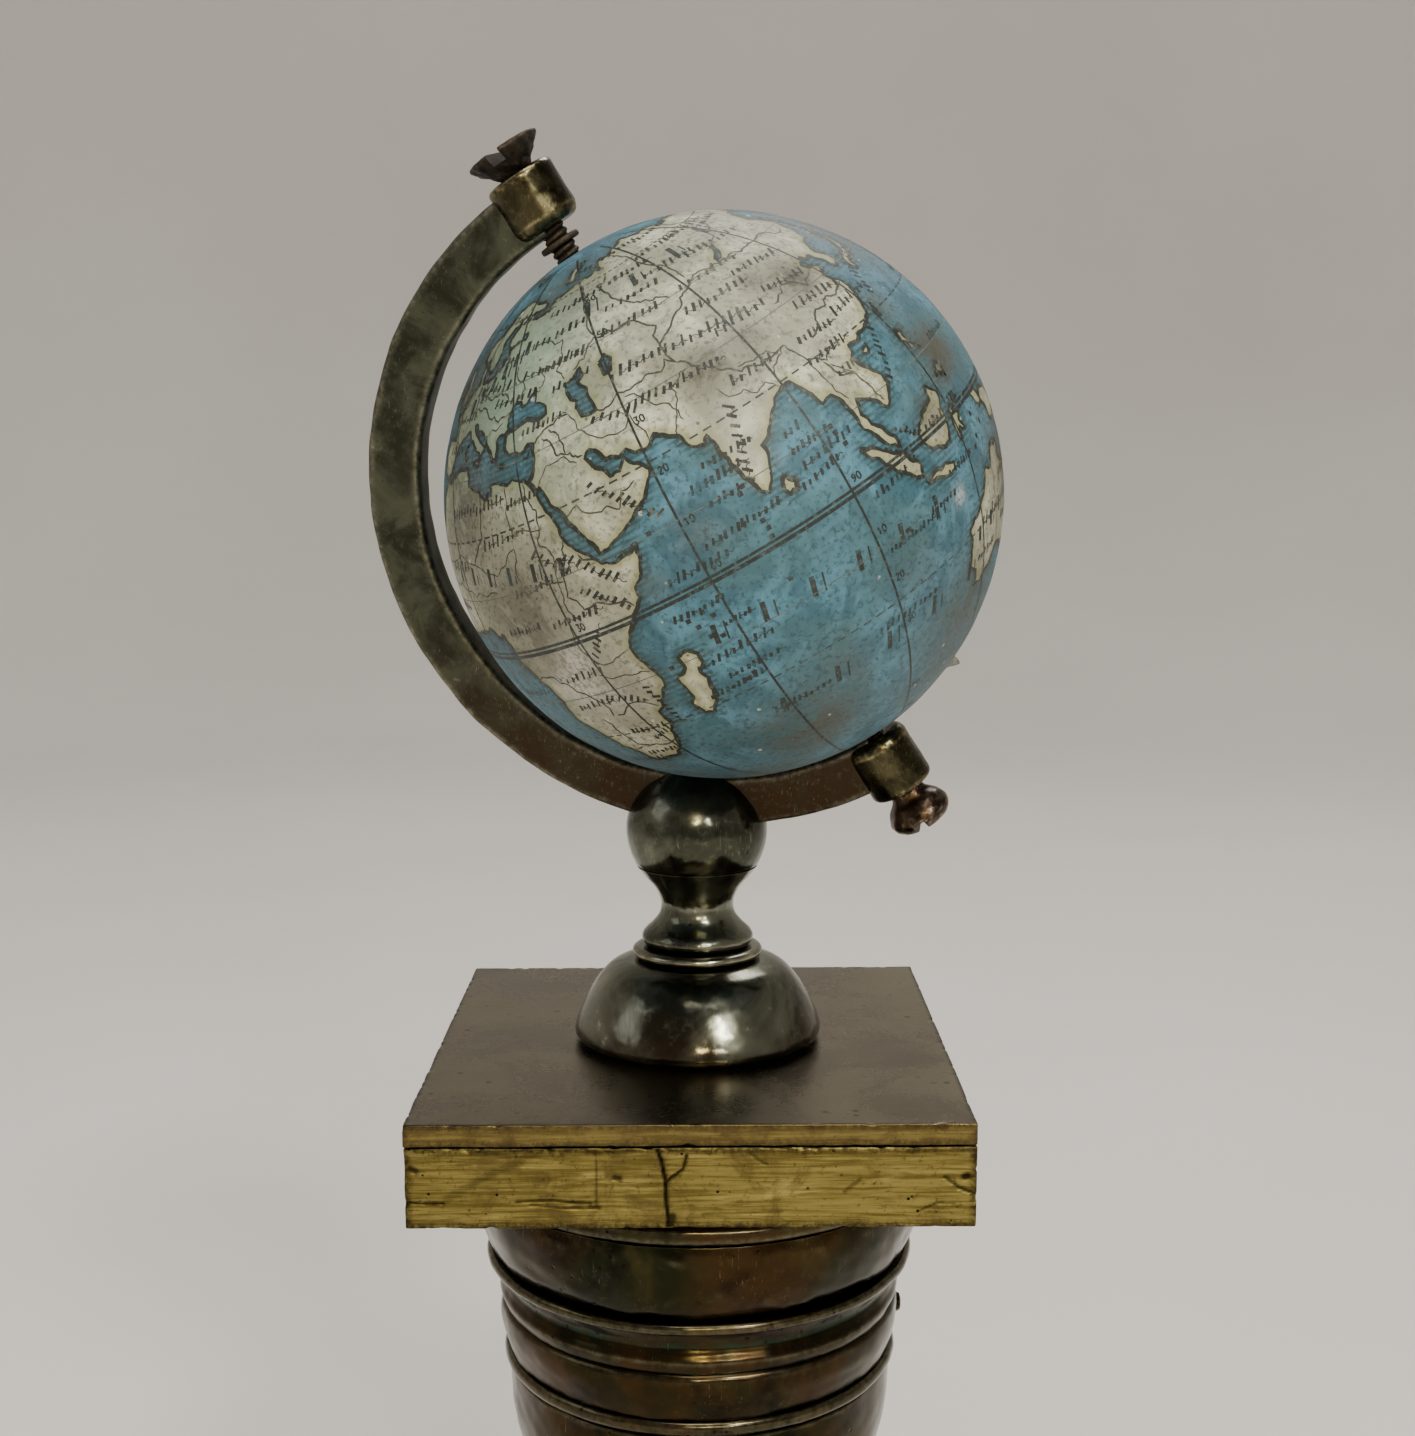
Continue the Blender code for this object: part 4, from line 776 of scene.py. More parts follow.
# Where the map is greened, stained or rubbed: longitude, latitude, spread in degrees and strength
GREENED = ((22, 50, 20, 1.0), (38, 58, 14, 0.9), (42, 46, 8, 0.7), (-40, 70, 20, 0.6), (30, 66, 12, 0.6))
STAINED = (
    (80, 33, 7, 1.0), (90, 33, 6, 1.0), (72, 38, 5, 0.7), (112, 38, 7, 1.0), (104, 43, 6, 0.8),
    (20, 8, 20, 0.9),
    (98, 58, 7, 0.5), (102, 25, 4, 0.6), (50, 20, 5, 0.5), (56, 44, 6, 0.5), (12, 22, 10, 0.8),
    (8, 28, 14, 0.9), (30, -12, 12, 0.75), (38, 4, 6, 0.6), (60, -42, 14, 0.9), (110, -42, 18, 0.8),
    (128, 10, 10, 1.0), (114, 2, 6, 0.8), (140, -20, 16, 0.9), (62, 8, 6, 0.6), (50, 4, 4, 0.6),
    (150, 40, 18, 0.8),
    (0, 55, 14, 0.9), (115, 60, 9, 0.6), (60, 70, 14, 0.6), (124, 24, 6, 0.7), (96, -20, 8, 0.5),
    (75, -30, 8, 0.5),
    (-60, -10, 16, 0.7), (-100, 40, 18, 0.6), (-140, -20, 26, 0.6), (-30, 20, 20, 0.6), (0, -60, 30, 0.9))
RUBBED = ((26, -4, 5, 0.9), (23, -9, 6, 1.0), (28, -13, 5, 0.7), (33, 2, 3, 0.6), (79, 21, 4, 0.8),
          (77, 14, 3, 0.6), (113, -14, 2, 0.7), (118, -22, 1.6, 0.7), (-90, 20, 12, 0.6),
          (-170, 10, 20, 0.5))


def on_ball(longitude, latitude):
    """Unit directions in the globe's own frame for places on the printed map."""
    longitude, latitude = np.radians(longitude), np.radians(latitude)
    flat = np.stack([np.cos(latitude) * np.cos(longitude), np.cos(latitude) * np.sin(longitude),
                     np.sin(latitude)], -1)
    return flat @ np.array(MAP_SLIP).T


def drawn(corners, closed, seed, shake=0.55, step=0.7):
    """A line of (longitude, latitude) corners as drawn by hand: finely divided, with a shaky course."""
    source = np.random.default_rng(seed)
    line = np.array([*corners, corners[0]] if closed else corners, float)
    size = shake
    for _ in range(4):
        lengths = np.linalg.norm(np.diff(line, axis=0), axis=1)
        parts = [line[:1]]
        for start, end, length in zip(line, line[1:], lengths):
            if length > step:
                side = np.array((start[1] - end[1], end[0] - start[0])) / length
                middle = (start + end) / 2 + side * source.normal() * size * min(1.0, length / 5)
                parts.append(middle[None])
            parts.append(end[None])
        line = np.concatenate(parts)
        size *= 0.62
    return line


def inside(points, line):
    """Which (longitude, latitude) points lie inside a closed line."""
    result = np.zeros(len(points), bool)
    x, y = points.T
    for (x1, y1), (x2, y2) in zip(line, line[1:]):
        crosses = (y1 > y) != (y2 > y)
        with np.errstate(divide="ignore", invalid="ignore"):
            result ^= crosses & (x < (x2 - x1) * (y - y1) / (y2 - y1) + x1)
    return result


def map_lines():
    """Every drawn coast, as (longitude, latitude) arrays: the lands' and then the inland seas'."""
    lands = [drawn(corners, True, index) for index, corners in enumerate(LANDS.values())]
    seas = [drawn(corners, True, 60 + index, 0.3) for index, corners in enumerate(INLAND_SEAS.values())]
    return lands, seas


def shore_distance(directions, places, lands, seas):
    """Distance to the nearest coast in millimetres, above 0 on land."""
    is_land = np.zeros(len(places), bool)
    for line in lands:
        for shift in (0, 360, -360):
            is_land |= inside(places + (shift, 0), line)
    for line in seas:
        is_land &= ~inside(places, line)
    coast = np.concatenate([np.array(divided(list(on_ball(*line.T)), 0.004)) for line in (*lands, *seas)])
    tree = kdtree.KDTree(len(coast))
    for index, point in enumerate(coast):
        tree.insert(point, index)
    tree.balance()
    reach = np.array([tree.find(direction)[2] for direction in directions]) * GLOBE_RADIUS
    return np.where(is_land, reach, -reach)


def patches(directions, table):
    """Soft patches round places on the map."""
    total = np.zeros(len(directions))
    for longitude, latitude, spread, strength in table:
        cosine = np.clip(directions @ on_ball(longitude, latitude), -1, 1)
        total = np.maximum(total, strength * np.exp(-(np.degrees(np.arccos(cosine)) / spread) ** 2))
    return total


def ball_relief(directions):
    """Height of the papered ball over a true sphere, in millimetres."""
    points = directions * GLOBE_RADIUS
    return 0.05 * lumps(points, 26, 3) + 0.018 * lumps(points, 7, 4) + 0.006 * lumps(points, 2.2, 5)


def make_ball(finishes, lands, seas):
    """The papered ball, with the map's distances and stains stored on it."""
    around = BALL_COLUMNS
    pole = math.asin((BUSH_RADIUS + 0.04) / GLOBE_RADIUS)
    tilt = np.linspace(pole, math.pi - pole, BALL_ROWS)
    spin = np.linspace(0, 2 * math.pi, around, endpoint=False)
    rows = np.stack([np.outer(np.sin(tilt), np.cos(spin)), np.outer(np.sin(tilt), np.sin(spin)),
                     np.tile(np.cos(tilt)[:, None], (1, around))], -1)
    flat = rows.reshape(-1, 3)
    heights = GLOBE_RADIUS + ball_relief(flat)
    points, faces = net((flat * heights[:, None]).reshape(rows.shape), True, False)
    lip = [np.stack([np.cos(spin) * (BUSH_RADIUS + 0.04), np.sin(spin) * (BUSH_RADIUS + 0.04),
                     np.full(around, side * (GLOBE_RADIUS - 0.9))], -1) for side in (1, -1)]
    count = len(points)
    points = np.concatenate([points, *lip])
    last = count - around
    for j in range(around):
        k = (j + 1) % around
        faces.append((j, k, count + k, count + j))
        faces.append((last + k, last + j, count + around + j, count + around + k))
    ball = piece("map_ball", points, faces, "globe", finishes["paper"], ["map_skin"],
                 GLOBE_FRAME, wear=False)
    directions = points / np.linalg.norm(points, axis=1)[:, None]
    on_map = directions @ np.array(MAP_SLIP)
    places = np.degrees(np.stack([np.arctan2(on_map[:, 1], on_map[:, 0]),
                                  np.arcsin(np.clip(on_map[:, 2], -1, 1))], -1))
    shore = shore_distance(directions, places, lands, seas)
    store(ball.data, "shore", shore)
    store(ball.data, "green", patches(directions, GREENED))
    store(ball.data, "grime", patches(directions, STAINED))
    store(ball.data, "rubbed", patches(directions, RUBBED))
    store(ball.data, "latitude", places[:, 1])
    return ball


def make_torn_paper(finishes):
    """A small curled flap of the map paper that has lifted south-west of Australia."""
    place = on_line(118.5, -57.3, -21.0)
    along, across = np.linspace(0, 1, 9), np.linspace(-1, 1, 7)
    sheet = []
    for share in along:
        width = 1.5 * (1 - 0.7 * share ** 2)
        directions = place([(4.0 * share - 0.6 * (side * share) ** 2, width * side) for side in across])
        lift = 0.02 + 0.75 * share ** 1.8 - 0.12 * np.abs(across) * share
        sheet.append(directions * (GLOBE_RADIUS + ball_relief(directions) + lift)[:, None])
    upper = np.array(sheet)
    lower = upper * (1 - 0.07 / np.linalg.norm(upper, axis=2))[..., None]
    points, faces = net(np.concatenate([upper, lower[:, ::-1]], axis=1), True, False)
    ends = tuple(range(2 * len(across)))
    faces += [ends, tuple(len(points) - 1 - index for index in ends)]
    return piece("torn_paper", points, faces, "globe", finishes["torn"], (), GLOBE_FRAME,
                 wear=False)


class Ink:
    """Flat strokes of ink on the ball, gathered into one mesh."""

    def __init__(self):
        self.points, self.faces, self.land, self.fade = [], [], [], []
        self.count = 0

    def stroke(self, directions, width, land=0.0, fade=0.0, lift=0.014, taper=False):
        """A line of that width in millimetres along directions in the globe's frame."""
        directions = np.asarray(directions)
        directions = directions / np.linalg.norm(directions, axis=1)[:, None]
        count = len(directions)
        along = np.gradient(directions, axis=0)
        side = np.cross(directions, along)
        side /= np.linalg.norm(side, axis=1)[:, None] + 1e-12
        widths = np.broadcast_to(width, (count,)).astype(float) / 2
        if taper:
            widths = widths * np.minimum(1, np.minimum(np.arange(count), np.arange(count)[::-1]) / 2 + 0.35)
        base = directions * (GLOBE_RADIUS + ball_relief(directions) + lift)[:, None]
        rows = np.stack([base + side * widths[:, None], base - side * widths[:, None]], 1)
        self.points.append(rows.reshape(-1, 3))
        first = self.count
        self.faces += [(first + 2 * i, first + 2 * i + 1, first + 2 * i + 3, first + 2 * i + 2)
                       for i in range(count - 1)]
        self.land += [land] * (2 * count)
        self.fade += [fade] * (2 * count)
        self.count += 2 * count

    def line(self, places, width, land=0.0, fade=0.0, step=0.5):
        """A line through (longitude, latitude) places."""
        places = divided([np.array(place, float) for place in places], step)
        self.stroke(on_ball(*np.array(places).T), width, land, fade)

    def finish(self, name, finishes):
        mesh_points = np.concatenate(self.points)
        thing = piece(name, mesh_points, self.faces, "globe", finishes["ink"], (),
                      GLOBE_FRAME, wear=False)
        store(thing.data, "on_land", self.land)
        store(thing.data, "fade", self.fade)
        return thing


def draw_coasts(finishes, lands, seas):
    """Coasts in a line of uneven weight."""
    ink = Ink()
    for index, line in enumerate((*lands, *seas)):
        directions = np.array(divided(list(on_ball(*line.T)), 0.012))
        weight = 0.34 + 0.12 * lumps(directions * GLOBE_RADIUS, 3.0, 80 + index)
        ink.stroke(directions, np.clip(weight, 0.16, 0.56), 0.5)
    return ink.finish("map_coasts", finishes)


def draw_borders(finishes):
    ink = Ink()
    for index, line in enumerate(LINES):
        shaky = drawn(line, False, 200 + index, 0.8, 0.8)
        ink.stroke(on_ball(*shaky.T), 0.15 + 0.04 * math.sin(index), 1.0, 0.1, taper=True)
    return ink.finish("map_borders", finishes)


def draw_grid(finishes):
    """Meridians, the double equator, dashed tropics and polar circles, and faint parallels."""
    ink = Ink()
    for longitude in range(-180, 180, 30):
        ink.line([(longitude, -80), (longitude, 80)], 0.21, 0.4, 0.0, 1.0)
    around = np.arange(-180, 180.5, 1.0)
    for offset, width in ((0.5, 0.24), (-0.5, 0.32)):
        ink.line([(longitude, offset) for longitude in around], width, 0.3, 0.0, 1.0)
    for latitude in (23.5, -23.5, 66.5, -66.5):
        for start in np.arange(-180, 180, 3.0):
            ink.line([(start, latitude), (start + 1.9, latitude)], 0.16, 0.4, 0.1)
    for latitude in (-50, -35, -12, 12, 35, 50):
        ink.line([(longitude, latitude) for longitude in around], 0.08, 0.5, 0.5, 2.0)
    return ink.finish("map_grid", finishes)


# Strokes of the figures 0 to 9 on a grid 2 wide and 4 high
FIGURES = {
    "0": [((0, 1), (0, 3), (1, 4), (2, 3), (2, 1), (1, 0), (0, 1))],
    "1": [((0, 3), (1, 4), (1, 0))],
    "2": [((0, 3), (1, 4), (2, 3), (0, 0), (2, 0))],
    "3": [((0, 4), (2, 4), (1, 2.4), (2, 1.2), (1, 0), (0, 0.6))],
    "5": [((2, 4), (0, 4), (0, 2.3), (1.4, 2.4), (2, 1.2), (1.2, 0), (0, 0.4))],
    "6": [((2, 3.8), (0.6, 3), (0, 1.2), (1, 0), (2, 1), (1.4, 2.2), (0, 1.6))],
    "8": [((1, 2), (0.1, 3), (1, 4), (1.9, 3), (1, 2), (0, 1), (1, 0), (2, 1), (1, 2))],
    "9": [((0, 0.2), (1.6, 1.4), (2, 3), (1, 4), (0, 3), (0.6, 2), (2, 2.6))],
}


def on_line(longitude, latitude, slope):
    """A function from offsets in degrees, along and above a line at that slope, to directions."""
    along = np.array((math.cos(math.radians(slope)), math.sin(math.radians(slope))))
    squeeze = math.cos(math.radians(latitude))

    def place(offsets):
        offsets = np.asarray(offsets, float)
        flat = offsets[:, :1] * along + offsets[:, 1:] * np.array((-along[1], along[0]))
        return on_ball(longitude + flat[:, 0] / squeeze, latitude + flat[:, 1])
    return place


def draw_figures(finishes):
    """Degree figures beside the equator and along one meridian."""
    ink = Ink()
    unit = 0.36

    def number(text, longitude, latitude, slope=0.0):
        place = on_line(longitude, latitude, slope)
        for index, figure in enumerate(text):
            for stroke in FIGURES[figure]:
                offsets = [(unit * (x + 3.0 * index), unit * y) for x, y in stroke]
                ink.stroke(place(divided([np.array(o) for o in offsets], 0.3)), 0.15, 0.2)

    for longitude in range(-150, 181, 30):
        number(str(abs(longitude)), longitude + 1.2, 1.4)
    for latitude in (10, 20, 30, 50, 60):
        number(str(latitude), 61, latitude + 0.5)
        number(str(latitude), -119, latitude + 0.5)
        number(str(latitude), 91, -latitude + 0.5)
    return ink.finish("map_figures", finishes)


# Rows of ticks that stand in for names: longitude, latitude, length and height in degrees, slope, and
# whether on land
MARKS = (
    (68.5, 17.5, 9.5, 1.7, 0, 0), (64.5, 14.6, 11, 2.2, 0, 0), (66.5, 11, 6.5, 2.0, 0, 0),
    (62, 5, 9, 1.8, 0, 0), (69.5, 5.4, 8, 1.8, 0, 0), (53, 2.2, 13, 2.3, 0, 0), (50, -4.4, 11, 1.8, 0, 0),
    (82.5, 5.2, 9, 2.0, 8, 0), (84.5, 14.5, 4, 2.2, 0, 0), (84, 11.5, 8, 1.8, 0, 0),
    (84.5, 8, 12, 2.4, 5, 0), (94, -3.8, 9, 2.0, 6, 0), (48.5, -15.2, 16, 2.4, 2, 0),
    (53, -19.4, 11, 1.8, 2, 0), (47, -22, 11, 1.8, 2, 0), (104, -13, 8, 1.8, 0, 0),
    (112, -9.5, 8, 1.8, 0, 0), (92, -14, 12, 1.6, 0, 0), (58, -9, 6, 1.4, 0, 0),
    (75.6, 11.5, 14, 2.7, 72, 1), (46.2, 24.5, 14, 2.5, -48, 1), (52, 35, 9, 2.5, -18, 1),
    (61, 34, 10, 2.2, -8, 1), (74, 33, 8, 2.2, -4, 1), (82, 27.4, 9, 2.4, 0, 1), (74, 39.5, 15, 2.8, -6, 1),
    (60, 40.5, 11, 2.6, -2, 1), (86, 37, 12, 2.8, 0, 1), (84, 44, 14, 2.6, -4, 1), (88, 50, 14, 2.8, -4, 1),
    (102, 46, 12, 2.4, -8, 1), (103, 39, 10, 2.2, -8, 1), (105, 32.5, 12, 2.6, -4, 1),
    (111, 27, 13, 2.8, 4, 1), (99, 27, 8, 2.0, -4, 1), (97.5, 22.5, 9, 2.2, 0, 1), (101, 18, 6, 1.8, 0, 1),
    (62, 50, 12, 2.4, -4, 1), (66, 55.5, 11, 2.2, -4, 1), (80, 58, 13, 2.4, -4, 1),
    (100, 56, 14, 2.6, -4, 1),
    (88, 64.5, 12, 2.2, 0, 1), (106, 64, 12, 2.4, 0, 1), (120, 62, 12, 2.2, 0, 1), (72, 62, 9, 2.0, 0, 1),
    (34, 50, 14, 2.6, -4, 1), (22, 47, 11, 2.2, -6, 1), (10, 51, 11, 2.4, -6, 1), (38, 56, 12, 2.4, 0, 1),
    (44, 62, 12, 2.2, 0, 1), (24, 64.5, 9, 2.0, 0, 1), (19, 55.5, 10, 2.2, 0, 1), (33, 39, 9, 2.0, 0, 1),
    (41, 49.5, 8, 2.0, 0, 1), (-4, 40.5, 8, 2.2, 0, 1), (0, 46.5, 8, 2.0, 0, 1), (44, 44.5, 8, 1.8, 0, 1),
    (25, 27, 8, 2.0, 4, 1), (13, 28, 10, 2.2, 4, 1), (0, 28, 11, 2.4, 4, 1), (14, 21, 13, 2.4, 4, 1),
    (28, 17, 9, 2.6, -36, 1), (35, 14.5, 12, 2.4, -40, 1), (20, 11, 11, 2.4, 2, 1),
    (36, 8, 10, 2.2, -40, 1),
    (26, 3.4, 11, 2.2, 0, 1), (12, 4, 11, 2.2, 0, 1), (31, -6, 8, 2.2, 50, 1), (20, -8, 11, 2.4, 0, 1),
    (36, -13.5, 11, 1.8, -84, 1), (26, -14, 9, 2.0, -20, 1), (17, -15, 9, 2.2, 0, 1),
    (24, -24, 9, 2.0, 0, 1),
    (20, -31.6, 9, 1.8, 0, 1), (28, -27, 6, 1.8, 20, 1), (-8, 18, 12, 2.4, 0, 1), (-12, 10, 9, 2.0, 0, 1),
    (104, 4.4, 6, 1.6, -40, 1), (99.6, 2.6, 7, 1.6, -44, 1), (111, 0.4, 6, 2.0, 0, 1),
    (120, -24, 16, 2.8, 0, 1),
    (133, -28, 12, 2.4, 0, 1), (117, -30, 8, 2.0, 0, 1), (133, -19, 9, 2.2, 0, 1), (145, -26, 8, 2.2, 0, 1),
    (111, 12, 12, 2.2, 62, 0), (126, 26, 12, 2.2, 60, 0), (129, 12, 10, 2.0, 0, 0),
    (134, 33, 6, 1.6, 30, 1),
    (146, 25, 14, 2.4, 0, 0), (150, 8, 14, 2.2, 0, 0), (160, -12, 14, 2.2, 0, 0), (-160, 18, 12, 2.0, 0, 0),
    (-150, -16, 12, 2.0, 0, 0), (-170, 40, 16, 2.4, 0, 0), (-130, 20, 14, 2.2, 0, 0),
    (-110, -20, 14, 2.2, 0, 0),
    (-108, 54, 16, 2.8, 0, 1), (-104, 46, 12, 2.4, 0, 1), (-92, 39, 12, 2.4, 0, 1), (-86, 34, 9, 2.2, 0, 1),
    (-80, 49, 12, 2.4, 0, 1), (-104, 34, 11, 2.2, 0, 1), (-118, 62, 16, 2.6, 0, 1),
    (-108, 26, 8, 2.2, -50, 1),
    (-98, 19.6, 7, 2.0, 0, 1), (-64, 4, 9, 2.2, 0, 1), (-62, -6, 16, 2.6, 0, 1), (-56, -12, 12, 2.8, 0, 1),
    (-50, -20, 8, 2.2, 40, 1), (-67, -24, 9, 2.2, 0, 1), (-70, -10, 7, 2.2, -60, 1),
    (-68, -36, 8, 2.2, 0, 1),
    (-70, -46, 6, 2.0, -70, 1), (-48, 66, 12, 2.2, 60, 1), (-48, 36, 16, 2.4, 0, 0),
    (-32, 8, 14, 2.2, 0, 0),
    (-22, -22, 16, 2.4, 0, 0), (-40, 50, 12, 2.2, 0, 0), (-70, 28, 10, 2.0, 0, 0), (-76, 15, 9, 2.0, 0, 0),
    (6, -34, 14, 2.2, 0, 0), (0, -10, 10, 2.0, 0, 0), (56, -32, 12, 2.0, 0, 0), (84, -28, 14, 2.0, 0, 0),
    (60, 72, 14, 2.0, 0, 0), (100, 71, 12, 2.0, 0, 1), (6, 66, 10, 2.0, 0, 0),
)

# Large spaced bars across the sea and the continents: first and last place, how many, and their height
TITLES = (
    ((55, -11.5), (105, -14.5), 6, 4.4), ((58, -33), (112, -32), 5, 4.4), ((60, 57), (118, 59), 4, 4.2),
    ((8, 48), (34, 56), 6, 3.2), ((-2, 16), (34, 12), 6, 3.8), ((118, -26), (144, -24), 5, 3.2),
    ((-120, 44), (-84, 44), 7, 3.8), ((-72, -8), (-48, -14), 6, 3.8), ((150, 28), (200, 28), 7, 4.2),
    ((-150, -4), (-96, -4), 8, 4.2), ((-56, 28), (-24, 28), 8, 3.8), ((-30, -30), (0, -30), 5, 3.8),
)

# Islets as dots
ISLETS = ((55.5, -4.6), (57, -6), (53.5, -6.8), (54.6, -9.5), (56.6, -10.4), (52.4, -5), (60, -3.4),
          (57.5, -20.3),
          (55.5, -21), (44.3, -12), (73.2, 4.6), (73.4, 3), (73.2, 1.4), (72.4, -7), (72, 10.6), (73, 11.6),
          (92.8, 12), (93, 10.6), (93.6, 8), (96.9, -12.2), (105.6, -10.4), (54, 12.4), (118, -9),
          (121, -8.6),
          (124, -9), (127, -3.4), (128, 0.4), (130, -6), (115.8, -8.6), (126, -7.6), (-158, 21),
          (-156, 19.6),
          (-150, -17.6), (-140, -9), (178, -18), (166, -21), (160, -9), (-25, 38), (-17, 28), (-24, 15.4))


def scribble(ink, place, length, height, land, source):
    """A row of short slanting ticks over a broken wavy hairline, standing in for a printed name."""
    x = 0.0
    while x < length:
        rise = height * source.uniform(0.45, 0.9)
        lean = source.uniform(0.3, 0.45) * rise
        floor = height * source.uniform(-0.06, 0.12)
        ink.stroke(place([(x, floor), (x + lean / 2, floor + rise / 2), (x + lean, floor + rise)]),
                   source.uniform(0.19, 0.31), land)
        if source.random() < 0.5:
            reach = source.uniform(0.5, 1.1) * height
            wave = [(x + reach * share, 0.3 * height + 0.1 * height * math.sin(9 * share + x))
                    for share in np.linspace(0, 1, 6)]
            ink.stroke(place(wave), 0.09, land)
        x += source.uniform(0.4, 0.62) * height + 0.3


def draw_marks(finishes):
    """Rows of ticks for names, large spaced bars for titles, and islets."""
    ink = Ink()
    source = random.Random(11)
    for longitude, latitude, length, height, slope, land in MARKS:
        scribble(ink, on_line(longitude, latitude, slope), length, height, float(land), source)
    for (start_lon, start_lat), (end_lon, end_lat), count, height in TITLES:
        for index in range(count):
            share = index / (count - 1)
            place = on_line(start_lon + (end_lon - start_lon) * share,
                            start_lat + (end_lat - start_lat) * share, 0)
            for shift, width, tall in ((0.0, 0.46, 0.9), (0.5 * height, 0.16, source.uniform(0.4, 0.9))):
                rise = tall * height
                ink.stroke(place([(shift, 0), (shift + 0.1 * rise, rise / 2), (shift + 0.2 * rise, rise)]),
                           width, 0.3)
    for longitude, latitude in ISLETS:
        place = on_line(longitude, latitude, 0)
        ink.stroke(place([(-0.5, 0), (0, 0.05), (0.5, 0)]), 0.4, 0.2)
    return ink.finish("map_marks", finishes)


# ---------------------------------------------------------------- arm, bosses and pivot screws

def swept_arm(grow, steps, ends):
    """Rows of points of the C-shaped arm, its section grown on every side by that many millimetres."""
    inner, outer, half = ARM_INNER - grow, ARM_OUTER + grow, ARM_HALF + grow
    edge = 0.55
    section = []
    for centre, first in (((outer - edge, half - edge), 90), ((outer - edge, edge - half), 0),
                          ((inner + edge, edge - half), -90), ((inner + edge, half - edge), -180)):
        section += arc(centre, (edge, edge), first, first - 90, 4)
    section = np.array(divided([*section, section[0]], 0.5))[:-1]
    angles = np.radians(np.linspace(-ends, ends, steps))
    rows = np.stack([np.outer(np.cos(angles), section[:, 0]), np.tile(section[:, 1], (steps, 1)),
                     np.outer(np.sin(angles), section[:, 0])], -1)
    return rows


def arm_mesh(rows):
    points, faces = net(rows, True, False)
    across = rows.shape[1]
    return points, [*faces, tuple(range(across))[::-1], tuple(range(len(points) - across, len(points)))]


def make_arm(finishes):
    rows = swept_arm(0.0, 230, 92.2)
    flat = rows.reshape(-1, 3)
    radius = np.hypot(flat[:, 0], flat[:, 2])
    push = 0.07 * lumps(flat, 9, 21) + 0.03 * lumps(flat, 2.6, 22)
    way = np.where(radius > (ARM_INNER + ARM_OUTER) / 2, 1.0, -1.0)
    near_edge = np.abs(radius - (ARM_INNER + ARM_OUTER) / 2) / ((ARM_OUTER - ARM_INNER) / 2)
    flat = flat + (push * way * near_edge / radius)[:, None] * flat * np.array((1, 0, 1))
    flat[:, 1] += 0.05 * lumps(flat, 7, 23) * np.sign(flat[:, 1])
    points, faces = arm_mesh(flat.reshape(rows.shape))
    return piece("curved_arm", points, faces, "stand", finishes["arm"], ["meridian_arm"],
                 ARM_FRAME)


def thread(low, high, pitch, depth, radius):
    """Rows of a threaded shank between two heights."""
    around = 40
    heights = np.arange(low, high, pitch / 9)
    angles = np.linspace(0, 2 * math.pi, around, endpoint=False)
    phase = (heights[:, None] / pitch - angles[None] / (2 * math.pi)) % 1.0
    groove = np.abs(phase - 0.5) * 2
    out = radius - depth * (1 - np.minimum(1, groove * 1.5))
    fade = np.clip(np.minimum(heights - low, high - heights) / pitch, 0, 1)[:, None]
    out = radius - (radius - out) * fade
    return np.stack([out * np.cos(angles), out * np.sin(angles), np.tile(heights[:, None], (1, around))],
                    -1)


def shank(name, body, finish, nodes, matrix, high):
    """Threaded shank of a pivot screw, from its point inside the globe up to its head."""
    rows = thread(GLOBE_RADIUS - 1.0, high, 0.62, 0.24, SHANK_RADIUS + 0.05)
    tip = rows[0].copy()
    tip[:, 2] -= 0.9
    tip[:, :2] *= 0.15
    rows = np.concatenate([tip[None], rows])
    points, faces = net(rows, True, False)
    across = rows.shape[1]
    faces = [*faces, tuple(range(across)), tuple(range(len(points) - across, len(points)))]
    return piece(name, points, faces, body, finish, nodes, matrix)


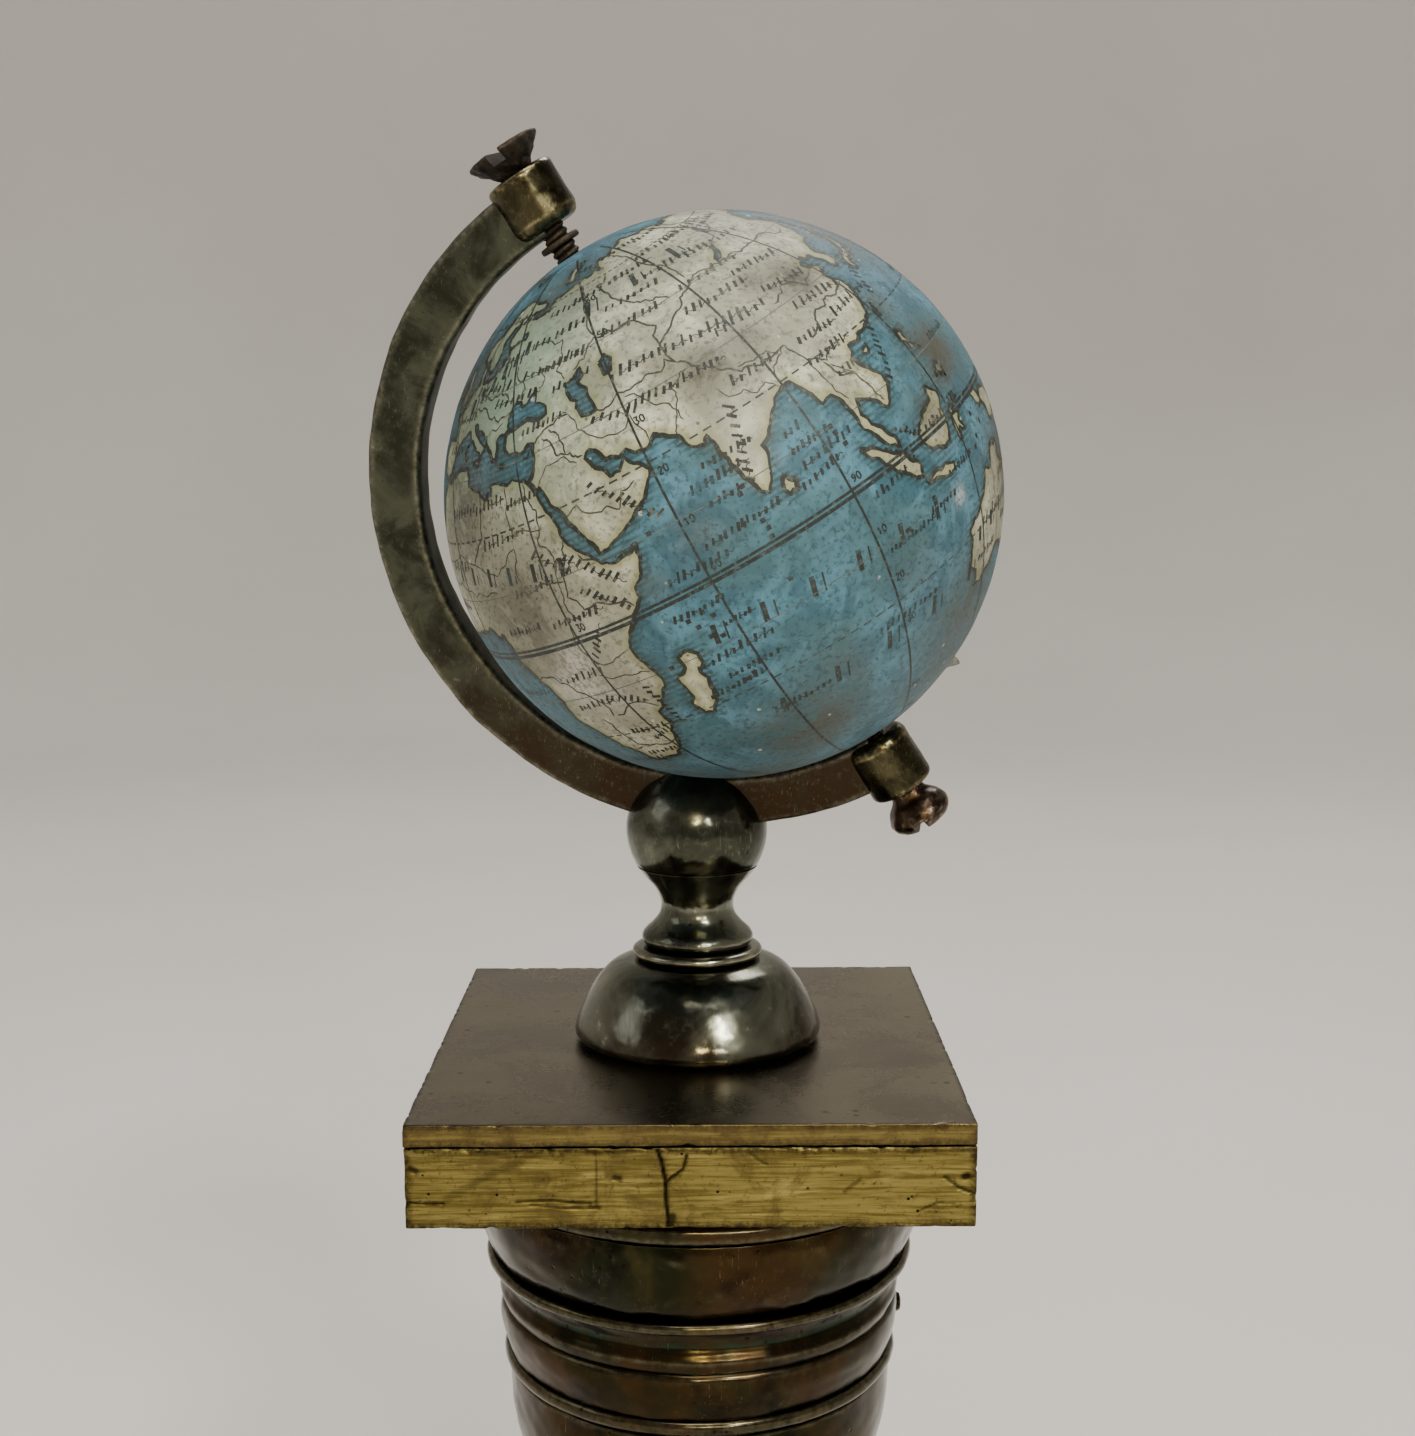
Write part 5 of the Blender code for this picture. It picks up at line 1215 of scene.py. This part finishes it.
def boss_and_screw(finishes, pole, matrix):
    """Boss, screw head with its slot, and threaded shank at one pole."""
    boss = frame["nodes"][f"{pole}_boss"]
    reach = np.array([matrix.inverted() @ vertex.co for vertex in boss.data.vertices])[:, 2] / MM
    inside_end, outside_end = reach.min(), reach.max()
    length = outside_end - inside_end
    side = [(2.62, outside_end), (2.98, outside_end - 0.1), (BOSS_RADIUS, outside_end - 0.42),
            (BOSS_RADIUS - 0.04, outside_end - length * 0.5), (BOSS_RADIUS, inside_end + 1.0),
            (2.95, inside_end + 0.4), (2.5, inside_end)]
    turned(f"{pole}_drum", side, SHANK_RADIUS + 0.12, "stand", finishes["boss"], "arm_brass",
           [f"{pole}_boss"], matrix, steps=96, spacing=0.22, corner=0.25, dents=0.035, dent_size=3.0,
           seed=31)
    under = outside_end + 0.3
    if pole == "north":
        body, finish, slot_name = "north_screw", finishes["rust"], "rusty_steel"
        side = [(3.1, under + 2.2), (3.38, under + 2.1), (3.42, under + 1.9), (2.95, under + 1.35),
                (2.1, under + 0.55), (1.75, under + 0.1), (1.5, under - 0.15)]
        chips, face = 0.1, under + 2.2
    else:
        body, finish, slot_name = "south_screw", finishes["copper"], "copper_screw"
        side = [*spline([(1.7, under + 4.0), (2.5, under + 3.72), (3.0, under + 3.05), (3.06, under + 2.5),
                         (2.6, under + 1.55), (1.85, under + 0.75), (1.62, under + 0.1)], 6),
                         (1.5, under - 0.15)]
        chips, face = 0.04, under + 4.0
    head = turned(f"{pole}_head", side, 0.0, body, finish, slot_name, [f"{pole}_screw"], matrix, steps=84,
                  spacing=0.25, corner=0.12, dents=chips, dent_size=1.6, seed=41)
    slot_cut = cutter_box((1.25, 9.0, 2.3), matrix @ Matrix.Translation((0, 0, face * MM)))
    carve(head, slot_cut)
    shank(f"{pole}_shank", body, finish, (), matrix, under + 0.2)


def make_washer(finishes):
    """Thin flange on the upper screw, with a broken edge."""
    around = 72
    angles = np.linspace(0, 2 * math.pi, around, endpoint=False)
    rim = 1.9 - 0.45 * np.exp(-((angles - 4.3) / 0.22) ** 2) - 0.3 * np.exp(-((angles - 5.2) / 0.16) ** 2)
    rim = rim - 0.05 * np.abs(np.sin(angles * 9 + 1)) * np.abs(np.sin(angles * 4))
    low = GLOBE_RADIUS + 1.2
    section = [(0.0, 0.0), (0.86, 0.0), (1.0, 0.12), (1.0, 0.4), (0.86, 0.52), (0.0, 0.52)]
    bore = SHANK_RADIUS + 0.08
    rows = np.stack([np.stack([(bore + (rim - bore) * out) * np.cos(angles),
                               (bore + (rim - bore) * out) * np.sin(angles),
                               np.full(around, low + up)], -1) for out, up in section], 1)
    points, faces = net(rows, True, True)
    return piece("north_flange", points, faces, "north_screw", finishes["rust"],
                 ["north_washer"], GLOBE_FRAME)


def make_bushes(finishes):
    top = math.sqrt(GLOBE_RADIUS ** 2 - BUSH_RADIUS ** 2)
    for pole, matrix in (("north", GLOBE_FRAME), ("south", SOUTH_FRAME)):
        side = [(BUSH_RADIUS - 0.3, top + 0.02), (BUSH_RADIUS, top - 0.1), (BUSH_RADIUS, top - 2.6)]
        turned(f"{pole}_bushing", side, SHANK_RADIUS + 0.1, "globe", finishes["bush"], "bush_brass",
               [f"{pole}_bush"], matrix, steps=64, spacing=0.3, corner=0.1, dents=0.01, dent_size=2.0,
               seed=51)


# ---------------------------------------------------------------- pillar, block and column

def levels(node, reach=0.0):
    """Lowest and highest level and radius of a turned CAD node, in millimetres, carried over its seams."""
    low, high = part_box(node)
    return low.z / MM - reach, high.z / MM + reach, (high.y - low.y) / 2 / MM


def make_pillar(finishes):
    """Domed foot, collar ring, waisted neck with its bell, and the slotted ball."""
    common = ("stand", finishes["pillar"], "pillar_brass")
    foot, top, radius = levels("dome_foot")
    side = spline([(6.2, top), (7.2, top - 0.2), (8.75, top - 0.95), (10.2, top - 2.6), (11.35, top - 4.6),
                   (12.05, foot + 1.9), (radius, foot + 0.95), (radius - 0.05, foot + 0.55)], 8)
    side += [(radius - 0.35, foot + 0.1), (radius - 0.9, foot)]
    turned("pillar_dome", side, ROD_BORE, *common, ["dome_foot"], None, 200, 0.35,
           0.12, 0.035, 7.0, 61)
    foot, top, radius = levels("collar_ring")
    side = [(radius - 0.55, top + 0.12), *arc((radius - 0.42, (foot + top) / 2), (0.42, 0.44), 80, -80, 8),
            (radius - 0.5, foot - 0.15)]
    turned("pillar_collar", side, ROD_BORE, *common, ["collar_ring"], None, 160, 0.3,
           0.05, 0.02, 5.0, 62)
    foot, top, _ = levels("pillar_neck")
    side = spline([(5.95, top + 0.15), (5.2, top - 0.75), (4.15, top - 2.1), (3.6, top - 3.5),
                   (3.75, foot + 3.0), (4.4, foot + 2.1), (5.2, foot + 1.35), (5.5, foot + 0.75),
                   (5.35, foot + 0.2), (5.0, foot - 0.1)], 8)
    turned("pillar_waist", side, ROD_BORE, *common, ["pillar_neck"], None, 160, 0.3,
           0.1, 0.03, 4.0, 63)
    foot, _, _ = levels("knop")
    centre = foot + math.sqrt(KNOP_RADIUS ** 2 - KNOP_SEAT ** 2)
    low_angle = math.degrees(math.asin((foot - centre) / KNOP_RADIUS))
    side = [*arc((0, centre), (KNOP_RADIUS, KNOP_RADIUS), 88, low_angle, 60),
            (KNOP_SEAT - 0.25, foot - SEAM)]
    ball = turned("pillar_ball", side, 0.0, *common, ["knop", "arm_pin"], None,
                  180, 0.35, 0.1, 0.03, 5.0, 64)
    rows = swept_arm(SLOT_GAP, 120, 92.0)
    points, faces = arm_mesh(rows)
    mesh = bpy.data.meshes.new("slot")
    mesh.from_pydata((points * MM).tolist(), [], faces)
    mesh.transform(ARM_FRAME)
    cutter = bpy.data.objects.new("slot", mesh)
    bpy.context.scene.collection.objects.link(cutter)
    carve(ball, cutter)
    edge_wear(ball.data)


# Cracks and scores of the block's front: width, depth, and corners as (distance from the left edge, height)
FRONT_MARKS = (
    (0.17, 1.0, ((22.0, 7.5), (22.5, 6.2), (22.8, 4.4), (22.9, 2.2), (23.1, -0.2))),
    (0.13, 0.9, ((22.9, 4.3), (23.6, 4.9), (24.4, 5.5), (24.7, 6.7))),
    (0.3, 0.8, ((23.2, -0.2), (23.4, 1.1))),
    (0.1, 0.6, ((16.7, 7.5), (16.8, 4.6), (16.7, 2.0))), (0.14, 0.9, ((0, 2.5), (1.6, 2.4), (3.4, 2.4))),
    (0.15, 0.8, ((9.8, 2.5), (12.5, 2.65), (16.3, 2.3))),
    (0.12, 0.7, ((11.0, 2.2), (14.2, 1.9), (17.0, 2.0))),
    (0.3, 0.35, ((3.6, 2.8), (8.0, 5.3), (12.3, 7.3))),
    (0.16, 0.8, ((47.2, 4.6), (48.4, 3.7), (50.0, 3.0))),
    (0.14, 0.6, ((30.2, 6.9), (31.0, 6.2), (31.6, 5.9))), (0.14, 0.5, ((38.4, 3.3), (39.8, 4.5))),
    (0.14, 0.6, ((45.2, 1.6), (46.6, 2.3), (48.0, 2.2))), (0.3, 0.9, ((48.9, 4.6), (49.2, 4.7))),
    (0.28, 0.8, ((18.4, 4.7), (18.7, 4.6))), (0.3, 0.8, ((0.6, 5.6), (1.0, 5.4))),
    (0.12, 0.5, ((26.0, 1.3), (33.0, 1.5))),
)


def slab(name, node, spacing, edge, finish, nicks, seed, reach, marks=()):
    """A rectangular block with softly broken edges, dented faces and scored marks on its front.

    The reach is how much its foot and its top are carried over the seams, in millimetres.
    """
    low, high = (np.array(corner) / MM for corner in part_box(node))
    low[2] -= reach[0]
    high[2] += reach[1]
    size = high - low
    points, faces = [], []
    for axis in range(3):
        u, v = [other for other in range(3) if other != axis]
        counts = [max(8, int(size[other] / spacing)) for other in (u, v)]
        lines = []
        for other, count in zip((u, v), counts):
            inner = np.linspace(low[other] + edge, high[other] - edge, count)
            lines.append(np.unique(np.concatenate([low[other] + edge * np.array((0, 0.3, 0.65)), inner,
                                                   high[other] - edge * np.array((0.65, 0.3, 0))])))
        grid_u, grid_v = np.meshgrid(*lines, indexing="ij")
        for level in (low[axis], high[axis]):
            rows = np.zeros((*grid_u.shape, 3))
            rows[..., u], rows[..., v], rows[..., axis] = grid_u, grid_v, level
            flat, quads = net(rows, False, False)
            start = sum(len(part) for part in points)
            points.append(flat)
            faces += [tuple(start + index for index in quad) for quad in quads]
    points = np.concatenate(points)
    core = np.clip(points, low + edge, high - edge)
    away = points - core
    length = np.linalg.norm(away, axis=1)[:, None]
    normal = away / np.maximum(length, 1e-9)
    near = np.sort(np.minimum(points - low, high - points), axis=1)[:, 1]
    rim = np.clip(1 - near / 1.2, 0, 1)
    points = core + normal * edge
    bite = np.clip(lumps(points, 1.6, seed) - 0.35, 0,
                   1) + 0.6 * np.clip(lumps(points, 5.0, seed + 1) - 0.5, 0, 1)
    push = -nicks * bite * np.clip(1 - near / 0.7, 0, 1) + 0.02 * lumps(points, 8, seed + 2)
    crack = np.zeros(len(points))
    on_front = points[:, 1] < low[1] + 0.02
    for width, depth, line in marks:
        for (x1, z1), (x2, z2) in zip(line, line[1:]):
            start = np.array((low[0] + x1, low[2] + z1))
            run = np.array((x2 - x1, z2 - z1))
            offset = points[:, [0, 2]] - start
            share = np.clip(offset @ run / (run @ run), 0, 1)
            wander = 0.1 * lumps(points, 1.1, seed + 5)
            gap = np.linalg.norm(offset - share[:, None] * run, axis=1) + wander * 0.4
            crack = np.maximum(crack, np.where(on_front, depth * np.clip(1.6 - gap / width, 0, 1), 0))
    push = push - CRACK_DEPTH * crack
    points = points + normal * push[:, None]
    thing = piece(name, points, faces, "stand", finish, [node], wear=False)
    store(thing.data, "crack", crack)
    store(thing.data, "rim", rim)
    store(thing.data, "upper", normal[:, 2])
    weld(thing)


def make_block(finishes):
    slab("block_slab", "block", 0.17, 0.2, finishes["gilt"], 0.2, 71, (0.0, 0.09),
         FRONT_MARKS)
    slab("block_top", "block_plate", 0.3, 0.14, finishes["plate"], 0.14, 75, (0.08, 0.0))


def make_column(finishes):
    """Fillet, bowl, arris, waist, lower ring, vase, stem and base, from the block downwards."""
    common = ("stand", finishes["column"], "column_bronze")

    def ring(name, node, bore, bead, seed):
        foot, top, radius = levels(node, SEAM)
        half = (top - foot) / 2
        side = [(radius - bead, top), *arc((radius - bead, foot + half), (bead, half), 80, -80, 12),
                (radius - bead, foot)]
        turned(name, side, bore, *common, [node], None, 200, 0.4, 0.05, 0.05, 9.0, seed)

    foot, top, radius = levels("capital_fillet", SEAM)
    turned("column_fillet", [(radius - 0.9, top), (radius - 0.7, foot + 1.9), (radius - 0.2, foot + 1.5),
                             (radius - 0.1, foot + 0.5), (radius - 0.5, foot)],
           CAPITAL_BORE, *common, ["capital_fillet"], None, 200, 0.4, 0.25, 0.05, 9.0, 81)
    foot, top, radius = levels("capital_bowl", SEAM)
    side = spline([(radius - 0.2, top), (radius, top - 1.6), (radius - 0.25, top - 3.6),
                   (radius - 1.0, foot + 1.8),
                   (radius - 1.9, foot)], 9)
    turned("column_bowl", side, CAPITAL_BORE, *common, ["capital_bowl"], None, 200, 0.4, 0.1, 0.1, 9.0, 82)
    ring("column_arris", "arris_ring", CAPITAL_BORE, 0.5, 83)
    foot, top, radius = levels("waist", SEAM)
    side = [*spline([(radius - 0.2, top), (radius - 0.95, top - 1.5), (radius - 0.8, top - 2.3),
                     (radius - 0.45, top - 3.2), (radius - 0.75, top - 4.2)], 7),
            *spline([(radius - 1.0, top - 4.35), (radius - 0.55, top - 4.9), (radius - 0.5, top - 6.2),
                     (radius - 0.8, top - 7.6), (radius - 1.3, foot)], 7)]
    turned("column_waist", side, CAPITAL_BORE, *common, ["waist"], None, 200, 0.35, 0.1, 0.06, 9.0, 84)
    ring("column_lower_ring", "lower_ring", CAPITAL_BORE, 0.5, 85)
    foot, top, radius = levels("vase", SEAM)
    side = [(radius - 0.5, top), (radius, top - 0.5), (radius, top - 3.0),
            *arc((9.3, top - 3.0), (radius - 9.3, top - foot - 3.0), -2, -90, 40)]
    turned("column_vase", side, ROD_BORE, *common, ["vase"], None, 200, 0.4, 0.15, 0.08, 9.0, 86)
    ring("column_stem_ring", "stem_ring", ROD_BORE, 1.6, 87)
    foot, top, _ = levels("stem", SEAM)
    side = spline([(8.0, top), (7.1, top - 1.6), (6.8, top - 4.0), (7.1, foot + 14), (7.6, foot + 11),
                   (8.6, foot + 6.5), (9.4, foot + 4.0), (9.75, foot + 1.6), (9.8, foot)], 8)
    turned("column_stem", side, ROD_BORE, *common, ["stem"], None, 160, 0.4, 0.15, 0.05, 9.0, 88)
    ring("column_base_ring", "base_ring", ROD_BORE, 1.5, 89)
    foot, top, radius = levels("base_dome", SEAM)
    side = spline([(10.7, top), (11.1, top - 2.4), (11.7, foot + 10.5), (13.6, foot + 8.3),
                   (17.1, foot + 6.45),
                   (21.6, foot + 4.9), (24.5, foot + 3.15), (25.8, foot + 1.4), (radius, foot)], 8)
    turned("column_base", side, 7.5, *common, ["base_dome"], None, 200, 0.5, 0.2, 0.08, 9.0, 90)
    ring("column_foot_rim", "base_rim", 22.8, 2.2, 91)
    foot, top, radius = levels("felt_pad")
    turned("foot_felt", [(radius - 0.2, top), (radius, top - 0.25), (radius, foot + 0.2),
                         (radius - 0.2, foot)],
           0.0, "stand", finishes["felt"], "felt", ["felt_pad"], None, 160, 0.6, 0.1, 0.06, 1.2, 92)


# ---------------------------------------------------------------- studio

# The camera of the photograph: focal length, where it stands in metres, and how far it looks down in
# degrees
LENS = 45.8
CAMERA_PLACE = (0.00075, -0.1775, 0.15723)
LOOK_DOWN = 9.83

# Soft square lights: name, azimuth and elevation in degrees, distance and size in metres, watts and colour
LIGHTS = (
    ("key", 26, 36, 0.9, 0.11, 3.6, (1.0, 0.97, 0.88)),
    ("lamp", 3, 19, 0.9, 0.07, 1.7, (1.0, 0.86, 0.5)),
    ("low", 20, 17, 0.9, 0.07, 1.3, (1.0, 0.97, 0.92)),
    ("top", 10, 72, 0.95, 0.5, 6.6, (1.0, 0.98, 0.94)),
    ("fill", -75, 30, 1.1, 0.5, 1.0, (0.9, 0.95, 1.0)),
    ("back", 165, 50, 1.0, 0.4, 3.6, (1.0, 0.98, 0.95)),
)


def make_studio():
    """Pale floor that rises to a backdrop, soft lights and the camera."""
    line = [(0.0, 0.0), (0.1, 0.0), (0.4, 0.0), *arc((0.9, 0.6), (0.6, 0.6), -90, 0, 24), (1.5, 1.6)]
    around = 96
    angles = np.linspace(0, 2 * math.pi, around, endpoint=False)
    rows = np.stack([np.stack([max(radius, 1e-4) * np.cos(angles), max(radius, 1e-4) * np.sin(angles),
                               np.full(around, height)], -1) for radius, height in line])
    points, faces = net(rows, True, False)
    mesh = bpy.data.meshes.new("floor")
    mesh.from_pydata(points.tolist(), [], faces)
    mesh.shade_smooth()
    floor = bpy.data.objects.new("floor", mesh)
    bpy.context.scene.collection.objects.link(floor)
    finish = Finish("pale_floor", roughness=0.9, Specular_IOR_Level=0.1)
    tone = finish.band(finish.noise(260.0, 3.0), 0.3, 0.7)
    mesh.materials.append(finish.done(finish.mix(tone, (0.72, 0.69, 0.65), (0.76, 0.73, 0.69))))

    world = bpy.context.scene.world or bpy.data.worlds.new("world")
    bpy.context.scene.world = world
    world.use_nodes = True
    background = world.node_tree.nodes["Background"]
    background.inputs["Color"].default_value = (0.93, 0.96, 1.0, 1.0)
    background.inputs["Strength"].default_value = 0.22

    target = Vector((0, 0, 0.14))
    for name, azimuth, elevation, distance, size, power, colour in LIGHTS:
        light = bpy.data.lights.new(name, "AREA")
        light.shape = "SQUARE"
        light.size = size
        light.energy = power
        light.color = colour
        lamp = bpy.data.objects.new(name, light)
        bpy.context.scene.collection.objects.link(lamp)
        turn, rise = math.radians(azimuth), math.radians(elevation)
        away = Vector((math.sin(turn) * math.cos(rise), -math.cos(turn) * math.cos(rise), math.sin(rise)))
        lamp.location = target + away * distance
        lamp.rotation_euler = away.to_track_quat("Z", "Y").to_euler()

    data = bpy.data.cameras.new("camera")
    data.sensor_width = 36.0
    data.lens = LENS
    data.shift_x = -0.0007
    data.shift_y = 0.0575
    data.clip_start, data.clip_end = 0.01, 10.0
    data.dof.use_dof = False
    camera = bpy.data.objects.new("camera", data)
    bpy.context.scene.collection.objects.link(camera)
    camera.matrix_world = (Matrix.Translation(CAMERA_PLACE)
                           @ Matrix.Rotation(math.radians(-0.13), 4, "Z")
                           @ Matrix.Rotation(math.radians(90 - LOOK_DOWN), 4, "X")
                           @ Matrix.Rotation(math.radians(-0.21), 4, "Z"))
    bpy.context.scene.camera = camera


def main():
    finishes = make_finishes()
    lands, seas = map_lines()
    make_ball(finishes, lands, seas)
    make_torn_paper(finishes)
    draw_coasts(finishes, lands, seas)
    draw_borders(finishes)
    draw_grid(finishes)
    draw_figures(finishes)
    draw_marks(finishes)
    make_arm(finishes)
    boss_and_screw(finishes, "north", GLOBE_FRAME)
    boss_and_screw(finishes, "south", SOUTH_FRAME)
    make_washer(finishes)
    make_bushes(finishes)
    make_pillar(finishes)
    make_block(finishes)
    make_column(finishes)
    for node, finish in (("globe_core", "core"), ("capital_pin", "column"), ("tie_rod", "steel"),
                         ("tie_washer", "steel"), ("tie_nut", "steel")):
        slots = frame["nodes"][node].material_slots
        for slot in slots:
            slot.material = finishes[finish]
    make_studio()


main()
